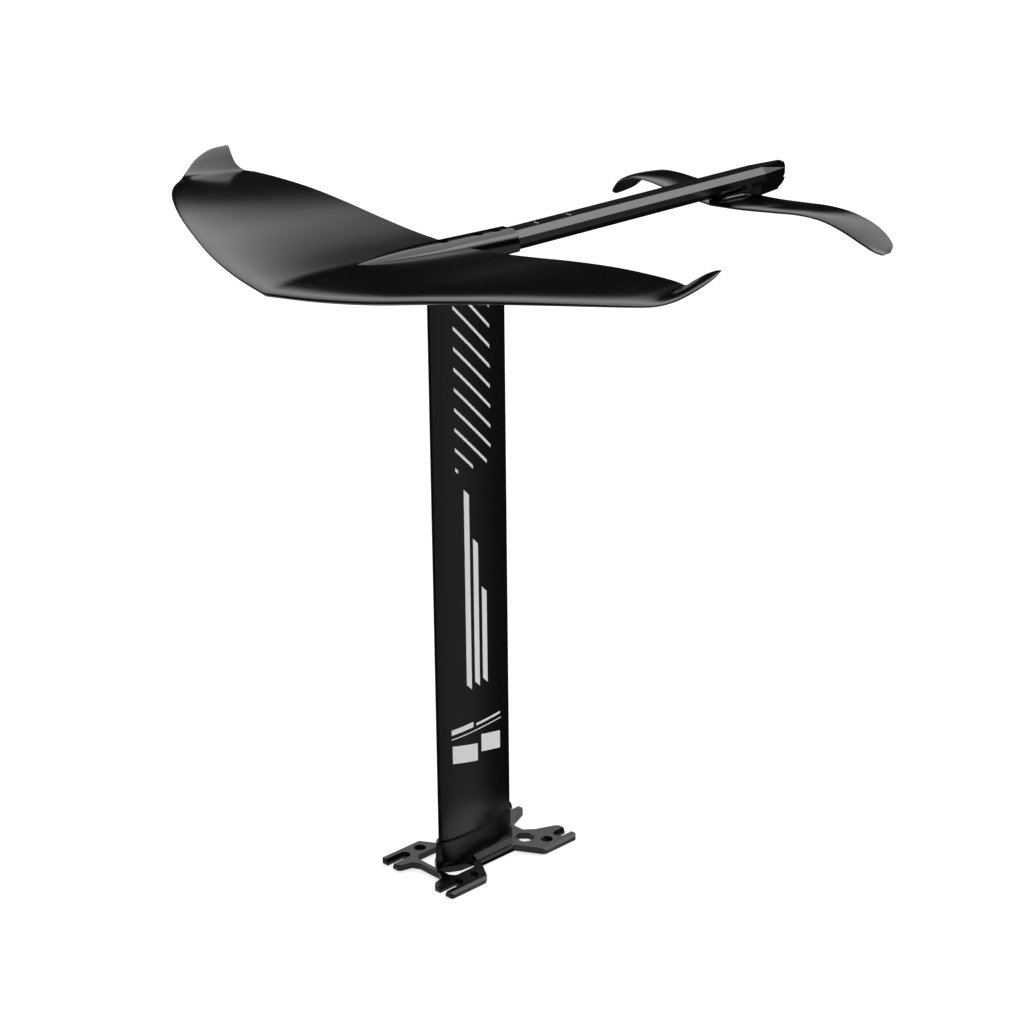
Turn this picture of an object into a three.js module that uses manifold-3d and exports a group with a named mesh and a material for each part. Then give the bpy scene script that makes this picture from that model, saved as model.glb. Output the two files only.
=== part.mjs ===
// Hydrofoil: board plate, hollow mast, octagonal fuselage, front wing and rear stabilizer.
// Millimetres. X is the span, -Y is the nose, +Y is the tail, +Z runs from the board face up the mast.
// The origin is the centre of the board plate's slot pattern, on the face that meets the board.
import * as THREE from 'three';
import { mergeVertices } from 'three/addons/utils/BufferGeometryUtils.js';
import Module from 'manifold-3d';

const wasm = await Module();
wasm.setup();

// ---------------------------------------------------------------- driving dimensions
const GAP = 0.3;                        // clearance between touching pieces

const PLATE_THICK = 8;
const PLATE_HALF_WIDTH = 61;
const FRONT_ARM_END = -102.5;
const REAR_ARM_END = 99;
const PLATE_CHAMFER = 0.8;
const ARM_CORNER = 2.5;                 // corner cut at the end of each arm
const SLOT_X = 45;                      // the slots and small holes lie this far from the centre line
const SLOT_HALF_WIDTH = 4.6;
const SLOT_FRONT_INNER = -75.7;         // closed ends of the slots
const SLOT_REAR_INNER = 80.5;
const SMALL_HOLE_FRONT = -56;
const SMALL_HOLE_REAR = 64;
const SMALL_HOLE_R = 4.2;
const RECESS_R = 7.2;                   // recess round each hole and slot
const RECESS_DEPTH = 4.8;
const EDGE_CUT = 3;                     // sloping cut along the plate's long sides
const SHOULDER_HALF_WIDTH = 29;         // shoulders beside the collar
const SHOULDER_FRONT = -29;
const SHOULDER_REAR = 31;
const SHOULDER_TOP = 12;
const COLLAR_TOP = 37;
const SOCKET_FLOOR = 6;
const SCREW_HEAD_R = 5.9;               // countersunk screws, here and under the stabilizer
const SCREW_KEY = 4;                    // across the flats of the key recess
const FOOT_SCREW_LENGTH = 34;

const MAST_CHORD = 113;
const MAST_THICK = 16;
const MAST_NOSE = -66;                  // leading edge of the mast
const MAST_TAIL_HALF = 0.35;            // half thickness of the blunt trailing edge
const MAST_WALL = 2;
const MAST_CELLS = [[-58, -52.5], [-50, 11], [14, 30]];
const FOOT_INSERT_TOP = 46;
const HEAD_INSERT_LENGTH = 40;
const HEAD_TONGUE = [-52, 19];          // front and rear of the tongue that goes into the fuselage
const HEAD_TONGUE_HALF_WIDTH = 6.5;
const FOOT_SCREWS = [-45, -28, -11];

const FUSE_BOTTOM = 718;
const FUSE_TOP = 740;
const FUSE_MIDDLE = (FUSE_BOTTOM + FUSE_TOP) / 2;
const FUSE_WIDTH = 29.5;
const FUSE_FLAT = 18.2;                 // width of the top and bottom facets
const FUSE_SIDE = 7.6;                  // height of the vertical facets
const TONGUE_FRONT = -95;
const TONGUE_TOP = 730;
const TONGUE_HALF_WIDTH = 12.5;
const TAIL_START = 464;
const TAIL_END = 516;
const TAIL_EDGE_HALF = 0.8;
const TICKS = [97, 147];                // short alignment grooves in the top facet
const TICK_HALF_LENGTH = 3.8;
const TICK_HALF_WIDTH = 1;
const TICK_DEPTH = 0.5;

const BOSS_END = 55;
const BOSS_HALF_WIDTH = 18.5;
const BOSS_FLAT_HALF = 8.6;
const WING_BOLTS = [-43, 8, 33];
const BOLT_R = 2.9;
const BOLT_HEAD_R = 4.9;
const BOLT_HEAD_H = 5;
const BOLT_KEY = 5;                     // across the flats of the key recess
const BOLT_RECESS_R = 5.6;
const WASHER_R = 5.2;
const WASHER_THICK = 1;
const INSERT_R = 4.5;                   // thread inserts
const INSERT_FOOT = FUSE_BOTTOM + 0.2;
const HEAD_SEAT = 733.2;                // floor of the bolt recesses

const STAB_TOP = FUSE_BOTTOM - GAP;
const SADDLE_HALF_WIDTH = 9;
const SADDLE_NOSE = 372;
const STAB_SCREWS = [412, 440];
const STAB_SCREW_LENGTH = 25;
const STAB_INSERT_LENGTH = 14;
const STAB_SEAT = 705.6;                // underside of the saddle, where the screws enter
const STAB_THICKNESS = [0.11, 0.09];

// ---------------------------------------------------------------- small tools
const WELD = 1e-4;                      // corners closer than this are one corner
const OVER = 10;                        // how far a cutter reaches past the face that it opens
const UP = new THREE.Vector3(0, 0, 1);
const v3 = (x, y, z) => new THREE.Vector3(x, y, z);

// The solid that a closed geometry bounds, whichever way its triangles are wound.
function solidOf(geometry) {
  const bare = geometry.clone();
  bare.deleteAttribute('normal');
  bare.deleteAttribute('uv');
  const merged = mergeVertices(bare, WELD);
  const made = (triangles) => new wasm.Manifold(new wasm.Mesh({
    numProp: 3,
    vertProperties: new Float32Array(merged.attributes.position.array),
    triVerts: new Uint32Array(triangles),
  }));
  const solid = made(merged.index.array);
  return solid.volume() < 0 ? made(Array.from(merged.index.array).reverse()) : solid;
}

function geometryOf(solid) {
  const mesh = solid.getMesh();
  const geometry = new THREE.BufferGeometry();
  geometry.setAttribute('position', new THREE.BufferAttribute(new Float32Array(mesh.vertProperties), 3));
  geometry.setIndex(new THREE.BufferAttribute(new Uint32Array(mesh.triVerts), 1));
  geometry.computeVertexNormals();
  return geometry;
}

const join = (solids) => solids.reduce((a, b) => a.add(b));
const cut = (solid, cutters) => cutters.reduce((a, b) => a.subtract(b), solid);

// A closed solid through rings of points, all with the same number of points in the same order.
function loft(rings) {
  const count = rings[0].length;
  const positions = rings.flat().flatMap((p) => [p.x, p.y, p.z]);
  const index = [];
  for (let i = 0; i + 1 < rings.length; i += 1) {
    for (let k = 0; k < count; k += 1) {
      const a = i * count + k;
      const b = i * count + ((k + 1) % count);
      index.push(a, b, b + count, a, b + count, a + count);
    }
  }
  [0, rings.length - 1].forEach((row, end) => {
    const ring = rings[row];
    const normal = ringNormal(ring);
    const side = v3(0, 0, 0).crossVectors(normal, Math.abs(normal.z) < 0.9 ? UP : v3(1, 0, 0)).normalize();
    const other = v3(0, 0, 0).crossVectors(normal, side);
    const flat = ring.map((p) => new THREE.Vector2(p.dot(side), p.dot(other)));
    THREE.ShapeUtils.triangulateShape(flat, []).forEach(([a, b, c]) => {
      const tri = [a, b, c].map((k) => row * count + k);
      const facing = ringNormal([ring[a], ring[b], ring[c]]).dot(normal) > 0;
      index.push(...(facing === (end === 1) ? tri : tri.reverse()));
    });
  });
  const geometry = new THREE.BufferGeometry();
  geometry.setAttribute('position', new THREE.Float32BufferAttribute(positions, 3));
  geometry.setIndex(index);
  return solidOf(geometry);
}

// The ring's area normal, by Newell's method.
function ringNormal(ring) {
  const sum = v3(0, 0, 0);
  ring.forEach((p, k) => sum.add(v3(0, 0, 0).crossVectors(p, ring[(k + 1) % ring.length])));
  return sum.normalize();
}

// A plan outline given as [x, y] pairs, extruded from z0 to z1 with an optional chamfer on both faces.
function slab(outline, z0, z1, chamfer = 0) {
  const shape = new THREE.Shape(outline.map(([x, y]) => new THREE.Vector2(x, y)));
  const geometry = new THREE.ExtrudeGeometry(shape, {
    depth: z1 - z0 - 2 * chamfer,
    bevelEnabled: chamfer > 0,
    bevelThickness: chamfer,
    bevelSize: chamfer,
    bevelOffset: -chamfer,
    bevelSegments: 1,
  });
  geometry.translate(0, 0, z0 + chamfer);
  return solidOf(geometry);
}

// A turned solid on a vertical axis at (x, y), from [radius, z] pairs that start and end on the axis.
function turned(profile, x, y, sides = 24) {
  const geometry = new THREE.LatheGeometry(profile.map(([r, z]) => new THREE.Vector2(r, z)), sides);
  geometry.rotateX(Math.PI / 2);
  geometry.translate(x, y, 0);
  return solidOf(geometry);
}

const rod = (r, z0, z1, x, y, sides = 24) => turned([[0, z0], [r, z0], [r, z1], [0, z1]], x, y, sides);

// A hexagonal key recess, from z0 to z1.
const keyRecess = (acrossFlats, z0, z1, x, y) => rod(acrossFlats / Math.sqrt(3), z0, z1, x, y, 6);

// Rectangle from two opposite corners, as an outline.
const rectangle = (x0, y0, x1, y1) => [[x0, y0], [x1, y0], [x1, y1], [x0, y1]];

// Both the outline and its mirror image across X = 0.
const mirrored = (outline) => outline.map(([x, y]) => [-x, y]).reverse();

// Half thickness of a symmetric four-digit section at a share u of the chord.
function sectionHalf(u, ratio) {
  const polynomial = 0.2969 * Math.sqrt(u) - 0.126 * u - 0.3516 * u ** 2 + 0.2843 * u ** 3 - 0.1036 * u ** 4;
  return 5 * ratio * polynomial;
}

// `count` + 1 values from `from` to `to`.
function spread(from, to, count) {
  return Array.from({ length: count + 1 }, (_, i) => from + ((to - from) * i) / count);
}

// Shares of the chord, close together at the nose and the tail.
const chordShares = (steps) => spread(0, Math.PI, steps).map((angle) => (1 - Math.cos(angle)) / 2);

function material(color, roughness, metalness) {
  return new THREE.MeshStandardMaterial({ color, roughness, metalness });
}

const finish = {
  anodised: () => material(0x17181a, 0.42, 0.8),
  mast: () => material(0x141416, 0.5, 0.6),
  composite: () => material(0x121315, 0.38, 0.0),
  steel: () => material(0x8d9094, 0.3, 1.0),
  insert: () => material(0xa9adb1, 0.4, 1.0),
};

// ---------------------------------------------------------------- mast
const mastHalf = (y) => MAST_CHORD * sectionHalf((y - MAST_NOSE) / MAST_CHORD, MAST_THICK / MAST_CHORD);

// Plan outline of the mast, grown by `grow` on every side.
function mastOutline(grow = 0, steps = 22) {
  const right = chordShares(steps).map((u) => {
    const half = MAST_CHORD * sectionHalf(u, MAST_THICK / MAST_CHORD);
    const side = grow * Math.min(1, 6 * Math.sqrt(u * (1 - u))) + MAST_TAIL_HALF * u;
    return [half + side, MAST_NOSE - grow + u * (MAST_CHORD + 2 * grow)];
  });
  const left = right.slice(1).map(([x, y]) => [-x, y]).reverse();
  return [...right, ...left];
}

// Plan outline of one inner cell of the mast, shrunk by `clear`.
function cellOutline([front, rear], clear = 0, steps = 10) {
  const right = spread(front + clear, rear - clear, steps).map((y) => [mastHalf(y) - MAST_WALL - clear, y]);
  return [...right, ...mirrored(right)];
}

function mastProfile() {
  const body = slab(mastOutline(), SOCKET_FLOOR + GAP, FUSE_BOTTOM - GAP);
  return cut(body, MAST_CELLS.map((cell) => slab(cellOutline(cell), 0, FUSE_BOTTOM + OVER)));
}

function mastFootInsert() {
  const body = slab(cellOutline(MAST_CELLS[1], GAP), SOCKET_FLOOR + GAP, FOOT_INSERT_TOP);
  return cut(body, FOOT_SCREWS.map((y) => rod(BOLT_R + GAP, 0, FOOT_INSERT_TOP - 8, 0, y)));
}

// Plan outline of the tongue, grown by `clear`.
function headTongueOutline(clear) {
  const half = HEAD_TONGUE_HALF_WIDTH + clear;
  return rectangle(-half, HEAD_TONGUE[0] - clear, half, HEAD_TONGUE[1] + clear);
}

const POCKET_ROOF = TONGUE_TOP - 3;

function mastHeadInsert() {
  const top = FUSE_BOTTOM - GAP;
  const stem = slab(cellOutline(MAST_CELLS[1], GAP), top - HEAD_INSERT_LENGTH, top);
  const neck = slab(rectangle(-4, -41, 4, -2), top - 5, FUSE_BOTTOM + 5);
  const tongue = slab(headTongueOutline(0), FUSE_BOTTOM, POCKET_ROOF - GAP);
  const boltHoles = WING_BOLTS.slice(0, 2).map((y) => rod(BOLT_R + GAP, FUSE_BOTTOM + 0.5, TONGUE_TOP, 0, y));
  return cut(join([stem, neck, tongue]), boltHoles);
}

// ---------------------------------------------------------------- board plate
// Right half of the plan outline from the front bar to the rear edge, without its slots.
const PLATE_RIGHT = [
  [16, -81.5], [25, -86], [28.5, -99], [32, FRONT_ARM_END],
  [PLATE_HALF_WIDTH - ARM_CORNER, FRONT_ARM_END], [PLATE_HALF_WIDTH, FRONT_ARM_END + ARM_CORNER],
  [PLATE_HALF_WIDTH, -50], [58, -45], [SHOULDER_HALF_WIDTH, -27],
  [SHOULDER_HALF_WIDTH, 27], [58, 44], [PLATE_HALF_WIDTH, 48],
  [PLATE_HALF_WIDTH, REAR_ARM_END - ARM_CORNER], [PLATE_HALF_WIDTH - ARM_CORNER, REAR_ARM_END],
  [31.5, REAR_ARM_END], [27.5, 95.5], [17.4, 72], [8, 61],
];

// An open-ended slot: a half circle at its closed end, straight out to its open end.
function stadium(x, half, yClosed, yOpen) {
  const way = Math.sign(yOpen - yClosed);
  const centre = yClosed + way * half;
  const arc = spread(0, Math.PI, 8).map((angle) => (
    [x + half * Math.cos(angle), centre - way * half * Math.sin(angle)]
  ));
  return [...arc, [x - half, yOpen], [x + half, yOpen]];
}

// A recess with sloping sides, from the plate's top face down.
function slopedRecess(outlineAt) {
  const rim = outlineAt(RECESS_R + 0.2).map(([x, y]) => v3(x, y, PLATE_THICK + 0.2));
  const floor = outlineAt(SLOT_HALF_WIDTH - 0.01).map(([x, y]) => v3(x, y, PLATE_THICK - RECESS_DEPTH));
  return loft([floor, rim]);
}

function boltOpenings() {
  const slots = [[SLOT_FRONT_INNER, FRONT_ARM_END - OVER], [SLOT_REAR_INNER, REAR_ARM_END + OVER]];
  const cutters = [];
  [-SLOT_X, SLOT_X].forEach((x) => {
    slots.forEach(([closed, open]) => {
      const way = Math.sign(open - closed);
      cutters.push(slab(stadium(x, SLOT_HALF_WIDTH, closed, open), -1, PLATE_THICK + 1));
      cutters.push(slopedRecess((r) => stadium(x, r, closed - way * (r - SLOT_HALF_WIDTH), open)));
    });
    [SMALL_HOLE_FRONT, SMALL_HOLE_REAR].forEach((y) => {
      cutters.push(turned([
        [0, -1], [SMALL_HOLE_R, -1], [SMALL_HOLE_R, PLATE_THICK - RECESS_DEPTH],
        [RECESS_R, PLATE_THICK + 0.01], [RECESS_R, PLATE_THICK + 1], [0, PLATE_THICK + 1],
      ], x, y));
    });
  });
  return cutters;
}

// Weight-saving windows: one crescent round the nose of the collar, and one each side of its tail.
function windows() {
  const nose = [[0, -75], [27, -75], [33, -70], [33, -42], [21, -30], [19, -50], [12, -63], [0, -71.5]];
  const crescent = [...nose, ...mirrored(nose.slice(1, -1))];
  const rear = [[15, 38], [30, 40], [34, 46], [34, 56], [30, 59], [19, 59], [12, 52]];
  return [crescent, rear, mirrored(rear)].map((outline) => slab(outline, -1, PLATE_THICK + 1));
}

// The socket that takes the mast: rings of the mast outline, flaring towards the plate.
function collar() {
  const levels = [
    [3, 11], [11, 10.6], [12, 10.2], [14, 9], [18, 7], [24, 4.8], [30, 3.2],
    [COLLAR_TOP - 1, 2.1], [COLLAR_TOP, 1.6],
  ];
  const base = mastOutline();
  return loft(levels.map(([z, side]) => {
    const ends = 2 + 0.12 * side;
    return mastOutline(ends).map(([x, y], k) => {
      const flank = Math.sign(base[k][0]) * (side - ends) * Math.min(1, 4 * mastHalfShare(y));
      return v3(x + flank, y, z);
    });
  }));
}

// 0 at the mast's nose and tail, rising to 1 over its middle.
function mastHalfShare(y) {
  const u = THREE.MathUtils.clamp((y - MAST_NOSE) / MAST_CHORD, 0, 1);
  return u * (1 - u);
}

// Sloping shoulders beside the collar, lower at their outer edges.
function shoulders() {
  const half = [[SHOULDER_HALF_WIDTH, 0], [SHOULDER_HALF_WIDTH, 4.8], [18, SHOULDER_TOP]];
  const section = [...half, ...mirrored(half)];
  return loft([SHOULDER_FRONT, SHOULDER_REAR].map((y) => ringAt(section, y)));
}

function basePlate() {
  const outline = [...PLATE_RIGHT, ...mirrored(PLATE_RIGHT)];
  const edgeCut = [
    [PLATE_HALF_WIDTH - EDGE_CUT, PLATE_THICK + 0.1], [PLATE_HALF_WIDTH + 1, PLATE_THICK + 0.1],
    [PLATE_HALF_WIDTH + 1, PLATE_THICK - EDGE_CUT - 1],
  ];
  const arms = [FRONT_ARM_END - OVER, REAR_ARM_END + OVER];
  const edges = [edgeCut, mirrored(edgeCut)].map((section) => loft(arms.map((y) => ringAt(section, y))));
  const blank = slab(outline, 0, PLATE_THICK, PLATE_CHAMFER);
  const plate = cut(blank, [...windows(), ...boltOpenings(), ...edges]);
  const body = join([plate, shoulders(), collar()]);
  const socket = slab(mastOutline(GAP), SOCKET_FLOOR, COLLAR_TOP + OVER);
  return cut(body, [socket, ...FOOT_SCREWS.map((y) => countersunkHole(y, 0, 10))]);
}

// The hole for a countersunk screw that enters a face at z and goes up to z + depth.
function countersunkHole(y, z, depth) {
  const headR = SCREW_HEAD_R + GAP + 0.1;
  const shankR = BOLT_R + GAP + 0.1;
  return turned([
    [0, z - 1], [headR, z - 1], [headR, z + 0.3], [shankR, z + 3.4], [shankR, z + depth], [0, z + depth],
  ], 0, y);
}

// A countersunk screw in the same place, with a hexagonal key recess.
function countersunkScrew(y, z, length) {
  const body = turned([
    [0, z + 0.4], [SCREW_HEAD_R, z + 0.4], [SCREW_HEAD_R, z + 0.6],
    [BOLT_R, z + 3.6], [BOLT_R, z + length], [0, z + length],
  ], 0, y);
  return body.subtract(keyRecess(SCREW_KEY, z - 1, z + 2.4, 0, y));
}

// ---------------------------------------------------------------- fuselage
// Octagon in the X-Z plane, `half` wide each side and from z0 to z1.
function octagon(half, flatHalf, z0, z1, sideHeight) {
  const middle = (z0 + z1) / 2;
  return [
    [flatHalf, z1], [half, middle + sideHeight / 2], [half, middle - sideHeight / 2], [flatHalf, z0],
    [-flatHalf, z0], [-half, middle - sideHeight / 2], [-half, middle + sideHeight / 2], [-flatHalf, z1],
  ];
}

const ringAt = (section, y) => section.map(([x, z]) => v3(x, y, z));
const FUSE_SECTION = octagon(FUSE_WIDTH / 2, FUSE_FLAT / 2, FUSE_BOTTOM, FUSE_TOP, FUSE_SIDE);

// The bar's sides narrow to an upright edge; the facets meet it at mid height.
function tailWedge() {
  const blade = octagon(TAIL_EDGE_HALF, TAIL_EDGE_HALF, FUSE_MIDDLE - 1.5, FUSE_MIDDLE + 1.5, 1);
  const wedge = loft([ringAt(FUSE_SECTION, TAIL_START - 0.5), ringAt(blade, TAIL_END)]);
  const fin = [
    [TAIL_START - 4, FUSE_BOTTOM], [TAIL_END - 4, FUSE_BOTTOM], [TAIL_END, FUSE_BOTTOM + 4],
    [TAIL_END, FUSE_TOP - 8], [TAIL_END - 3, FUSE_TOP - 3], [TAIL_END - 10, FUSE_TOP],
    [TAIL_START - 4, FUSE_TOP],
  ];
  const half = FUSE_FLAT / 2;
  const taper = (y) => THREE.MathUtils.mapLinear(y, TAIL_START, TAIL_END, half, TAIL_EDGE_HALF);
  const sides = [-1, 1].map((side) => fin.map(([y, z]) => v3(side * Math.min(half, taper(y)), y, z)));
  return wedge.add(loft(sides));
}

function fuselage() {
  const bar = loft([ringAt(FUSE_SECTION, BOSS_END + GAP), ringAt(FUSE_SECTION, TAIL_START)]);
  const tonguePlan = rectangle(-TONGUE_HALF_WIDTH, TONGUE_FRONT, TONGUE_HALF_WIDTH, BOSS_END + 2);
  const body = join([bar, slab(tonguePlan, FUSE_BOTTOM, TONGUE_TOP), tailWedge()]);
  const pocket = slab(headTongueOutline(GAP), FUSE_BOTTOM - 1, POCKET_ROOF);
  const through = (r, y) => rod(r + GAP, FUSE_BOTTOM - OVER, FUSE_TOP + OVER, 0, y);
  const blind = (r, y) => rod(r + GAP, FUSE_BOTTOM - OVER, FUSE_BOTTOM + STAB_INSERT_LENGTH + 1, 0, y);
  const holes = [
    ...WING_BOLTS.slice(0, 2).map((y) => through(BOLT_R, y)),
    through(INSERT_R, WING_BOLTS[2]),
    ...STAB_SCREWS.map((y) => blind(INSERT_R, y)),
  ];
  return cut(body, [pocket, ...holes, ...TICKS.map(tickGroove)]);
}

function tickGroove(y) {
  const plan = rectangle(-TICK_HALF_LENGTH, y - TICK_HALF_WIDTH, TICK_HALF_LENGTH, y + TICK_HALF_WIDTH);
  return slab(plan, FUSE_TOP - TICK_DEPTH, FUSE_TOP + OVER);
}

// The steel sleeve that a bolt screws into.
function threadInsert(y, z0, z1) {
  return rod(INSERT_R, z0, z1, 0, y).subtract(rod(BOLT_R + GAP, z0 - 1, z1 + 1, 0, y));
}

// ---------------------------------------------------------------- lifting surfaces
// Rings of a wing section from the leading edge curve, the trailing edge curve and the thickness share.
function wingHalfRings(lead, trail, stations, thickness, camber, steps) {
  const shares = chordShares(steps);
  const middle = (s) => lead.getPoint(s).lerp(trail.getPoint(s), 0.4);
  return stations.map((s) => {
    const nose = lead.getPoint(s);
    const chord = trail.getPoint(s).sub(nose);
    const span = middle(Math.min(1, s + 0.01)).sub(middle(Math.max(0, s - 0.01)));
    const normal = v3(0, 0, 0).crossVectors(span, chord).normalize();
    if (s === 0) {
      normal.set(0, -chord.z, chord.y).normalize();
    }
    const length = chord.length();
    const point = (u, sign) => {
      const tailEdge = Math.min(0.45, 0.2 * length * thickness(s)) * u;
      const half = length * sectionHalf(u, thickness(s)) + tailEdge;
      const offset = sign * half + 4 * camber * length * u * (1 - u);
      return nose.clone().addScaledVector(chord, u).addScaledVector(normal, offset);
    };
    const above = shares.map((u) => point(u, 1)).reverse();
    const below = shares.slice(1).map((u) => point(u, -1));
    return [...above, ...below];
  });
}

// The half rings and their mirror images, in order from one tip to the other.
function wholeWing(halfRings) {
  const opposite = (ring) => ring.map((p) => v3(-p.x, p.y, p.z));
  const left = halfRings.slice(1).map(opposite).reverse();
  return loft([...left, ...halfRings]);
}

function curveThrough(points) {
  return new THREE.CatmullRomCurve3(points.map(([x, y, z]) => v3(x, y, z)), false, 'centripetal');
}

// Edge points from the root, round the bend and out to the tip of the upturned end.
const WING_LEAD = [
  [0, -285, 738.2], [60, -273.5, 742.2], [120, -257, 748], [180, -235, 756], [240, -208, 762.5],
  [300, -172, 765.5], [335, -143, 765], [356, -120, 763.6], [367, -107, 763.7],
  [377, -93, 767], [386.5, -73, 775.5], [389, -51, 783], [383, -31, 786.5],
];
const WING_TRAIL = [
  [0, -22, 736.5], [60, -26, 741.5], [120, -26.5, 748], [180, -26, 755], [240, -25, 760],
  [300, -28, 763], [328, -33, 764.5], [343, -37, 765],
  [353, -40, 771], [366, -36, 780], [376, -31, 785], [381, -28.5, 786],
];
const WING_THICKNESS = [0.07, 0.066];   // share of the chord at the root and at the bend
const TIP_SWELL = 0.03;                 // added to it in the upturned end, between these shares of the span
const TIP_SWELL_SPAN = [0.68, 0.9];
const WING_CAMBER = -0.009;             // the lifting side faces the board

function frontWingSurface() {
  const bend = 0.56;                    // from this share of the curve on, the stations lie closer together
  const inner = spread(0, bend, 10).slice(0, -1);
  const stations = [...inner, ...spread(bend, 1, 12)];
  const swell = (s) => TIP_SWELL * THREE.MathUtils.smoothstep(s, ...TIP_SWELL_SPAN);
  const thickness = (s) => THREE.MathUtils.lerp(...WING_THICKNESS, s) + swell(s);
  const edges = [curveThrough(WING_LEAD), curveThrough(WING_TRAIL)];
  return wholeWing(wingHalfRings(...edges, stations, thickness, WING_CAMBER, 16));
}

// The boss over the fuselage: a long faceted fairing that widens out of the wing.
function frontBoss() {
  // place along the bar, half width of the top facet, half width, top, foot of the sloping facet, underside
  const stations = [
    [-166, 0.4, 2, 743, 742.5, 731], [-150, 2.6, 7, 745, 743, 727], [-125, 5.2, 11, 746.3, 742.8, 722],
    [-95, 7.2, 14.5, 746.9, 741.8, FUSE_BOTTOM], [-60, 8.4, 17.3, 746.4, 740.3, FUSE_BOTTOM],
    [-25, BOSS_FLAT_HALF, BOSS_HALF_WIDTH, 745.2, 738.2, FUSE_BOTTOM],
    [BOSS_END, BOSS_FLAT_HALF, BOSS_HALF_WIDTH, 742.7, 734, FUSE_BOTTOM],
  ];
  return loft(stations.map(([y, flat, half, top, foot, floor]) => {
    const right = [[flat, top], [half, foot], [half, floor + 3], [half * 0.8, floor]];
    return ringAt([...right, ...mirrored(right)], y);
  }));
}

function frontWing() {
  const body = frontWingSurface().add(frontBoss());
  const clear = TONGUE_HALF_WIDTH + GAP;
  const plan = rectangle(-clear, TONGUE_FRONT - GAP, clear, BOSS_END + 5);
  const channel = slab(plan, FUSE_BOTTOM - OVER, TONGUE_TOP + GAP);
  return cut(body, [channel, ...WING_BOLTS.map(boltRecess)]);
}

// The hole through the boss for a bolt, with the wider recess that its head and washer sit in.
function boltRecess(y) {
  const foot = TONGUE_TOP - 2;
  const open = FUSE_TOP + 2 * OVER;
  return turned([
    [0, foot], [BOLT_R + GAP, foot], [BOLT_R + GAP, HEAD_SEAT],
    [BOLT_RECESS_R, HEAD_SEAT], [BOLT_RECESS_R, open], [0, open],
  ], 0, y);
}

function washer(y) {
  const z0 = HEAD_SEAT + GAP;
  const z1 = z0 + WASHER_THICK;
  return rod(WASHER_R, z0, z1, 0, y).subtract(rod(BOLT_R + GAP, z0 - 1, z1 + 1, 0, y));
}

function wingBolt(y) {
  const seat = HEAD_SEAT + WASHER_THICK + 2 * GAP;
  const top = seat + BOLT_HEAD_H;
  const body = turned([
    [0, FUSE_BOTTOM + 1], [BOLT_R, FUSE_BOTTOM + 1], [BOLT_R, seat], [BOLT_HEAD_R, seat],
    [BOLT_HEAD_R, top - 0.6], [BOLT_HEAD_R - 0.6, top], [0, top],
  ], 0, y);
  return body.subtract(keyRecess(BOLT_KEY, top - 3, top + 1, 0, y));
}

// ---------------------------------------------------------------- rear stabilizer
const STAB_LEAD = [
  [0, 381, 708], [40, 388, 708.5], [80, 394, 711], [120, 399.5, 713.5],
  [150, 404, 711], [175, 411.5, 701.5], [193.5, 421.5, 689], [205.5, 431, 679.5], [210.5, 441, 674.5],
];
const STAB_TRAIL = [
  [0, 456, 708], [40, 456, 708.5], [80, 456.5, 711], [120, 457, 713.5],
  [150, 460, 711], [174, 467, 702], [190, 471, 691.5], [203, 469, 680.5], [210, 457, 675],
];

function stabilizerSurface() {
  const bend = 0.5;
  const stations = [...spread(0, bend, 6).slice(0, -1), ...spread(bend, 1, 10)];
  const thickness = (s) => THREE.MathUtils.lerp(...STAB_THICKNESS, s);
  const edges = [curveThrough(STAB_LEAD), curveThrough(STAB_TRAIL)];
  return wholeWing(wingHalfRings(...edges, stations, thickness, 0, 12));
}

// The saddle under the fuselage: a thin pointed nose, and a tail with the same upright edge as the fuselage.
function saddle() {
  const plan = [
    [0.8, SADDLE_NOSE], [4, 381], [7, 391], [SADDLE_HALF_WIDTH, 404],
    [SADDLE_HALF_WIDTH, TAIL_START], [TAIL_EDGE_HALF, TAIL_END],
  ];
  const behind = SADDLE_NOSE + 17;
  const belowNose = [
    [SADDLE_NOSE - OVER, STAB_TOP - 1], [SADDLE_NOSE, STAB_TOP - 1.4], [SADDLE_NOSE + 10, STAB_TOP - 4],
    [behind, STAB_TOP - 8], [behind, FUSE_BOTTOM - 20], [SADDLE_NOSE - OVER, FUSE_BOTTOM - 20],
  ];
  const body = slab([...plan, ...mirrored(plan)], FUSE_BOTTOM - 12, STAB_TOP);
  const belowCurve = [
    [TAIL_END - 14, FUSE_BOTTOM - 18], [TAIL_END - 14, FUSE_BOTTOM - 10], [TAIL_END - 5, FUSE_BOTTOM - 6],
    [TAIL_END, FUSE_BOTTOM - 1], [TAIL_END + 5, FUSE_BOTTOM + 1], [TAIL_END + 5, FUSE_BOTTOM - 18],
  ];
  const acrossBar = (side) => loft([-20, 20].map((x) => side.map(([y, z]) => v3(x, y, z))));
  return cut(body, [belowNose, belowCurve].map(acrossBar));
}

function rearStabilizer() {
  const body = stabilizerSurface().add(saddle());
  const plan = rectangle(-2 * FUSE_WIDTH, STAB_LEAD[0][1] - OVER, 2 * FUSE_WIDTH, TAIL_END + OVER);
  const above = slab(plan, STAB_TOP, STAB_TOP + OVER);
  const holes = STAB_SCREWS.map((y) => countersunkHole(y, STAB_SEAT, 20));
  return cut(body, [above, ...holes]);
}

// ---------------------------------------------------------------- assembly
const group = new THREE.Group();

function place(name, solid, look) {
  const mesh = new THREE.Mesh(geometryOf(solid), look());
  mesh.name = name;
  group.add(mesh);
}

const PLACES = ['front', 'middle', 'rear'];

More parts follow.
